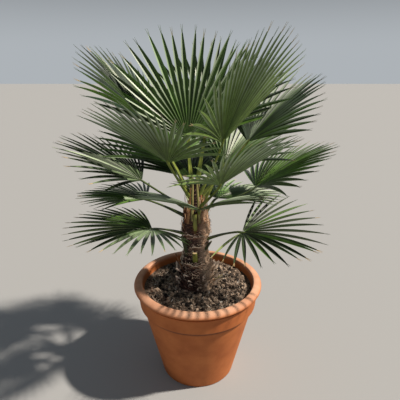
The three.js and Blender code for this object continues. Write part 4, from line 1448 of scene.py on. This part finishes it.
heights = np.arange(TRUNK_FOOT, HEART_TOP, BARK_STEP)
outline = [(0, TRUNK_FOOT)] + [(bark_radius(height), height) for height in heights] + [(0, HEART_TOP)]
points, faces = lathe(outline, BARK_SIDES)
points = np.array(points)
rims = np.zeros(len(points))
for place, (x, y, z) in enumerate(points):
    radius = math.hypot(x, y)
    if radius > 0:
        settled = min(1, (z - TRUNK_FOOT) / SETTLE_HEIGHT) * min(1, radius / SETTLE_RADIUS)
        stand, rims[place] = bark_relief(math.atan2(y, x), z)
        points[place, :2] *= 1 + (stand - BARK_SINK) * settled / radius
points[:, 0] += [trunk_centre(z)[0] for z in points[:, 2]]
bark = piece_from("trunk_bark", points, faces, [maroon_bark])
mark_points(bark, "rim", rims)
mark_worn(bark)
smooth_below(bark, 60)
hand_over(bark, "fibre", "trunk")

# %% Torn plates
PLATE_RADIUS = 47
PLATE_COLUMNS = 10
PLATE_ROWS = (0, 0.5, 0.78, 1)
PLATE_RIM_MARKS = (0, 0.05, 0.55, 1)
PLATE_THICKNESS = 2.2
PLATE_THINNING = 1.4
PLATE_SINK = 1.6
PLATE_WAVE = 1.2
PLATE_ROUNDING = 0.3
LIFT_POWER = 1.6
CUT_RANGE = (-1, 0.35)
plate_draws = np.random.default_rng(21)


def recalculated(shape):
    """Makes all the faces of a closed shape look outwards."""
    shell = bmesh.new()
    shell.from_mesh(shape.data)
    bmesh.ops.recalc_face_normals(shell, faces=shell.faces)
    shell.to_mesh(shape.data)
    shell.free()
    return shape


def plate_points(width, rise, lift, torn, narrowing, curl):
    """The outer and then the inner layer of a plate, row by row from its foot to its torn rim."""
    columns = np.linspace(-1, 1, PLATE_COLUMNS + 1)
    cut_in = plate_draws.uniform(*CUT_RANGE, PLATE_COLUMNS + 1) * torn
    wavy = plate_draws.uniform(-PLATE_WAVE, PLATE_WAVE, PLATE_COLUMNS + 1)
    points = []
    for inset in (0, 1):
        for share in PLATE_ROWS:
            thickness = PLATE_THICKNESS - PLATE_THINNING * share
            for across, cut, wave in zip(columns, cut_in, wavy):
                angle = across * (1 - narrowing * share) * width / 2 / PLATE_RADIUS
                rolled = curl * share**2 * (1 - across**2)
                stand = lift * share**LIFT_POWER - PLATE_SINK + wave * share + rolled - inset * thickness
                height = rise * share * (1 - PLATE_ROUNDING * across**2 + cut * share)
                points.append(around_axis(math.degrees(angle), PLATE_RADIUS + stand, height))
    return points


print("a plate is", round(PLATE_THICKNESS - PLATE_THINNING, 1), "mm thick at its rim")

# %% Plate shells
def plate_faces():
    """The faces of a plate's two layers and of the border between them."""
    wide = PLATE_COLUMNS + 1
    rows = len(PLATE_ROWS) - 1
    layer = wide * len(PLATE_ROWS)
    faces = []
    for row in range(rows):
        for column in range(PLATE_COLUMNS):
            here = row * wide + column
            faces.append([here, here + 1, here + wide + 1, here + wide])
            faces.append([layer + here, layer + here + wide, layer + here + wide + 1, layer + here + 1])
    border = list(range(wide))
    border += [row * wide + PLATE_COLUMNS for row in range(1, rows + 1)]
    border += [rows * wide + column for column in range(PLATE_COLUMNS - 1, -1, -1)]
    border += [row * wide for row in range(rows - 1, 0, -1)]
    for here, after in zip(border, border[1:] + border[:1]):
        faces.append([here, layer + here, layer + after, after])
    return faces


def sheath_plate(name, width, rise, lift, torn, narrowing=0.15, curl=0):
    """One old leaf base: a curved plate with a torn rim that stands off the trunk."""
    plate = piece_from(name, plate_points(width, rise, lift, torn, narrowing, curl), plate_faces())
    mark_points(plate, "rim", np.tile(np.repeat(PLATE_RIM_MARKS, PLATE_COLUMNS + 1), 2))
    return recalculated(plate)


print("a plate has", len(plate_faces()), "faces")

# %% The wrap tree
def wrap_tree():
    """Sets the shapes of a collection round the trunk, each at its own turn, tilt and girth."""
    tree, given = new_tree("wrapped shapes", {"Shapes": "Collection", "Finish": "Material", "Seed": "Int"})
    turn, tilt, girth = (
        add(tree, "GeometryNodeInputNamedAttribute", {"data_type": "FLOAT"}, {"Name": mark})
        for mark in ("turn", "tilt", "girth"))
    lean = add(tree, "ShaderNodeCombineXYZ", {}, {"X": tilt, "Z": turn})
    turned = add(tree, "FunctionNodeEulerToRotation", {}, {"Euler": lean})
    size = add(tree, "ShaderNodeCombineXYZ", {}, {"X": girth, "Y": girth, "Z": 1})
    finish_with_copies(tree, given, given["Geometry"], turned, size)
    return tree


WRAP = wrap_tree()
print("the wrap tree has", len(WRAP.nodes), "nodes")

# %% Places round the trunk
GOLDEN_ANGLE = 137.5
PLATE_MIDDLE = 5
FRONT_STALK_TURN = 268
FRONT_STALK_ROOM = 26


def plate_places(count, low, high, stand, turn_jitter, height_jitter, tilt_jitter, keep_front=False):
    """Places a golden angle apart, each with a seeded jitter; the front stalk's place may be kept free."""
    places = []
    for index in range(count):
        height = low + (high - low) * index / (count - 1) + plate_draws.uniform(-1, 1) * height_jitter
        turn = index * GOLDEN_ANGLE + plate_draws.uniform(-1, 1) * turn_jitter
        tilt = plate_draws.uniform(-1, 1) * tilt_jitter
        apart = abs((turn - FRONT_STALK_TURN + 180) % 360 - 180)
        if keep_front and apart < FRONT_STALK_ROOM:
            continue
        places.append((turn, tilt, height, (bark_radius(height + PLATE_MIDDLE) + stand) / PLATE_RADIUS))
    return places


def wrap(name, shapes, finish, places, seed):
    """Sets shapes round the trunk at places given as turn, tilt, height and girth."""
    turns, tilts, heights, girths = zip(*places)
    piece = piece_from(name, [trunk_centre(height) + UP * height for height in heights], [])
    mark_points(piece, "turn", np.radians(turns))
    mark_points(piece, "tilt", np.radians(tilts))
    mark_points(piece, "girth", girths)
    grow(piece, WRAP, {"Shapes": shapes, "Finish": finish, "Seed": seed})
    mark_worn(piece)
    smooth_below(piece, 50)
    hand_over(piece, "fibre")
    forget(shapes)

# %% Wrap the plates round the trunk
# Each plate has its width, rise, lift, how torn it is and, where they aren't the usual ones, its narrowing
# and curl. The places say how many plates there are, the lowest and highest, how far they stand off the bark,
# and how far each one's turn, height and tilt may stray.
MAROON_PLATES = (
    (46, 13, 3.2, 0.5), (34, 16, 4, 0.6), (58, 10, 2.6, 0.55), (28, 18, 5, 0.5), (40, 12, 3.6, 0.7))
TAN_PLATES = ((38, 11, 5.4, 0.75), (28, 14, 6.4, 0.8), (48, 9, 5, 0.8))
COLLAR_PLATES = ((52, 15, 4.5, 0.35), (44, 13, 5.5, 0.45), (60, 12, 4, 0.4))
FOOT_PLATES = (
    (34, 38, 12, 0.35, 0.75, 4), (28, 44, 15, 0.3, 0.85, 5), (40, 30, 9, 0.5, 0.6, 3),
    (24, 34, 17, 0.3, 0.8, 6))
HEART_PLATES = ((26, 42, 3, 0.25, 0.6), (20, 52, 2, 0.3, 0.7), (32, 34, 4, 0.35, 0.4), (16, 46, 5, 0.3, 0.7))

plates = shape_set("maroon_plate", sheath_plate, MAROON_PLATES)
wrap("leaf_bases", plates, old_base, plate_places(104, 352, 566, -1.5, 30, 5, 13), 5)
plates = shape_set("tan_plate", sheath_plate, TAN_PLATES)
wrap("torn_rims", plates, tan_base, plate_places(54, 392, 560, 0, 40, 6, 16), 6)
plates = shape_set("collar_plate", sheath_plate, COLLAR_PLATES)
places = plate_places(10, 538, 541, 1.2, 8, 2, 7) + plate_places(11, 434, 438, 1.2, 8, 2, 7)
places += plate_places(7, 498, 506, 0.6, 14, 5, 9)
wrap("collar_rims", plates, tan_base, places, 7)
plates = shape_set("foot_scale", sheath_plate, FOOT_PLATES)
wrap("foot_scales", plates, scale_base, plate_places(26, 346, 398, 1, 14, 4, 16), 8)

# %% Fibre wraps round the heart
plates = shape_set("heart_plate", sheath_plate, HEART_PLATES)
wrap("heart_fibre", plates, warm_fibre, plate_places(34, 552, 634, -1, 16, 3, 9, keep_front=True), 9)

# %% [markdown]
# Cut stubs
#
# Five old stalks were cut or dried up and still stand on the trunk: a green one in front with a pale cut
# top, two dark ones, and two withered ones. Higher up, the olive, straw and tan bases of inner stalks show.
# All are short limbs, so the sweep tree makes them too. Only the face that closes the upper end lies wholly
# in the marked end, so it alone takes the finish of the cut.

# %% Stubs
STUBS = {
    "front": dict(turn=266, height=430, rise=65, stand=9, width=23, skin=olive_skin, cut=cut_pith),
    "left": dict(turn=212, height=456, rise=86, stand=6, width=26, skin=deep_skin, cut=brown_skin),
    "right": dict(turn=332, height=490, rise=34, stand=10, width=20, skin=deep_skin, cut=cut_pith),
    "dry_left": dict(turn=212, height=388, rise=98, stand=34, width=9, skin=brown_skin, cut=brown_skin),
    "dry_back": dict(turn=78, height=410, rise=60, stand=16, width=20, skin=brown_skin, cut=cut_pith),
    "front_base": dict(turn=268, height=544, rise=86, stand=9, width=18, skin=olive_skin, cut=olive_skin),
    "heart_left": dict(turn=232, height=592, rise=118, stand=7, width=11, skin=tan_skin, cut=tan_skin),
    "heart_middle": dict(turn=254, height=604, rise=150, stand=14, width=10, skin=straw_skin, cut=straw_skin),
    "heart_right": dict(turn=288, height=596, rise=128, stand=10, width=10, skin=straw_skin, cut=straw_skin),
    "heart_far_right": dict(turn=314, height=590, rise=96, stand=6, width=11, skin=tan_skin, cut=tan_skin),
}
STUB_TOP_SHARE = 0.62
STUB_THICKNESS_SHARE = 0.55
STUB_STEPS = 8

for name, stub in STUBS.items():
    turn, low, rise = stub["turn"], stub["height"], stub["rise"]
    thickness = stub["width"] * STUB_THICKNESS_SHARE
    foot = on_trunk(turn, trunk_radius(low) - thickness, low)
    top = on_trunk(turn, trunk_radius(low + rise) + stub["stand"], low + rise)
    shares = np.linspace(0, 1, STUB_STEPS + 1)
    spine = foot + (top - foot) * shares[:, None]
    half = stub["width"] / 2 * (1 + (STUB_TOP_SHARE - 1) * shares)
    inward = unit(around_axis(turn, -1, 1))
    lines = Lines()
    lines.add_line(spine, [inward] * len(spine), half, 0, shares == 1)
    sweep_limb(lines, "stub_" + name, stub["skin"], stub["skin"], stub["cut"])

# %% Strands
STRAND_LENGTH = 34
STRAND_RADIUS = 0.55
STRAND_BOW = 6
STRAND_ARCH = 5
STRAND_RINGS = 6
STRAND_SIDES = 3
STRAND_FOOT_SHARE = 1.15


def strand(name):
    """A thin three-sided strand, arched off the surface it lies on and thinner towards its end."""
    bow = plate_draws.uniform(-STRAND_BOW, STRAND_BOW)
    points = []
    for share in np.linspace(0, 1, STRAND_RINGS):
        swell = math.sin(math.pi * share)
        middle = np.array(((share - 0.5) * STRAND_LENGTH, bow * swell, STRAND_ARCH * swell))
        for corner in range(STRAND_SIDES):
            angle = 2 * math.pi * corner / STRAND_SIDES
            ring = np.array((0, math.cos(angle), math.sin(angle))) * STRAND_RADIUS
            points.append(middle + ring * (STRAND_FOOT_SHARE - share))
    last = STRAND_SIDES * (STRAND_RINGS - 1)
    faces = [[0, 2, 1], [last, last + 1, last + 2]]
    for ring in range(0, last, STRAND_SIDES):
        for corner in range(STRAND_SIDES):
            here, after = ring + corner, ring + (corner + 1) % STRAND_SIDES
            faces.append([here, after, after + STRAND_SIDES, here + STRAND_SIDES])
    return recalculated(piece_from(name, points, faces))


print("a strand is", STRAND_LENGTH, "mm long and", 2 * STRAND_RADIUS, "mm thick")

# %% Loose fibres
def fibre_coat(name, finish, low, high, density, seed, turns=(0, 360)):
    """Strands on the bark between two heights and two turns."""
    def wanted(face):
        """Whether a face lies between them."""
        turn = math.degrees(math.atan2(face.center.y, face.center.x)) % 360
        return low < face.center.z / MM < high and (turn - turns[0]) % 360 <= turns[1] - turns[0]

    coat = part_of(name, bark.data, wanted)
    grow(coat, SCATTER, {
        "Shapes": strands, "Finish": finish, "Density": density, "Least size": 0.5, "Most size": 1.1,
        "Tilt": 0.12, "Spin": 1.1, "Seed": seed})
    mark_worn(coat)
    hand_over(coat, "fibre")


strands = shape_set("strand", strand, [()] * 5)
fibre_coat("trunk_fibres", old_base, 420, 590, 2600, 12)
fibre_coat("heart_fibres", warm_fibre, 545, 650, 11000, 14)
fibre_coat("warm_mat", warm_fibre, 540, 628, 26000, 15, (275, 395))
fibre_coat("pale_mat", pale_fibre, 372, 500, 4500, 16, (290, 385))
forget(strands)

# %% Take away the sections
for section in (leaflet_section, limb_section):
    bpy.data.objects.remove(section)
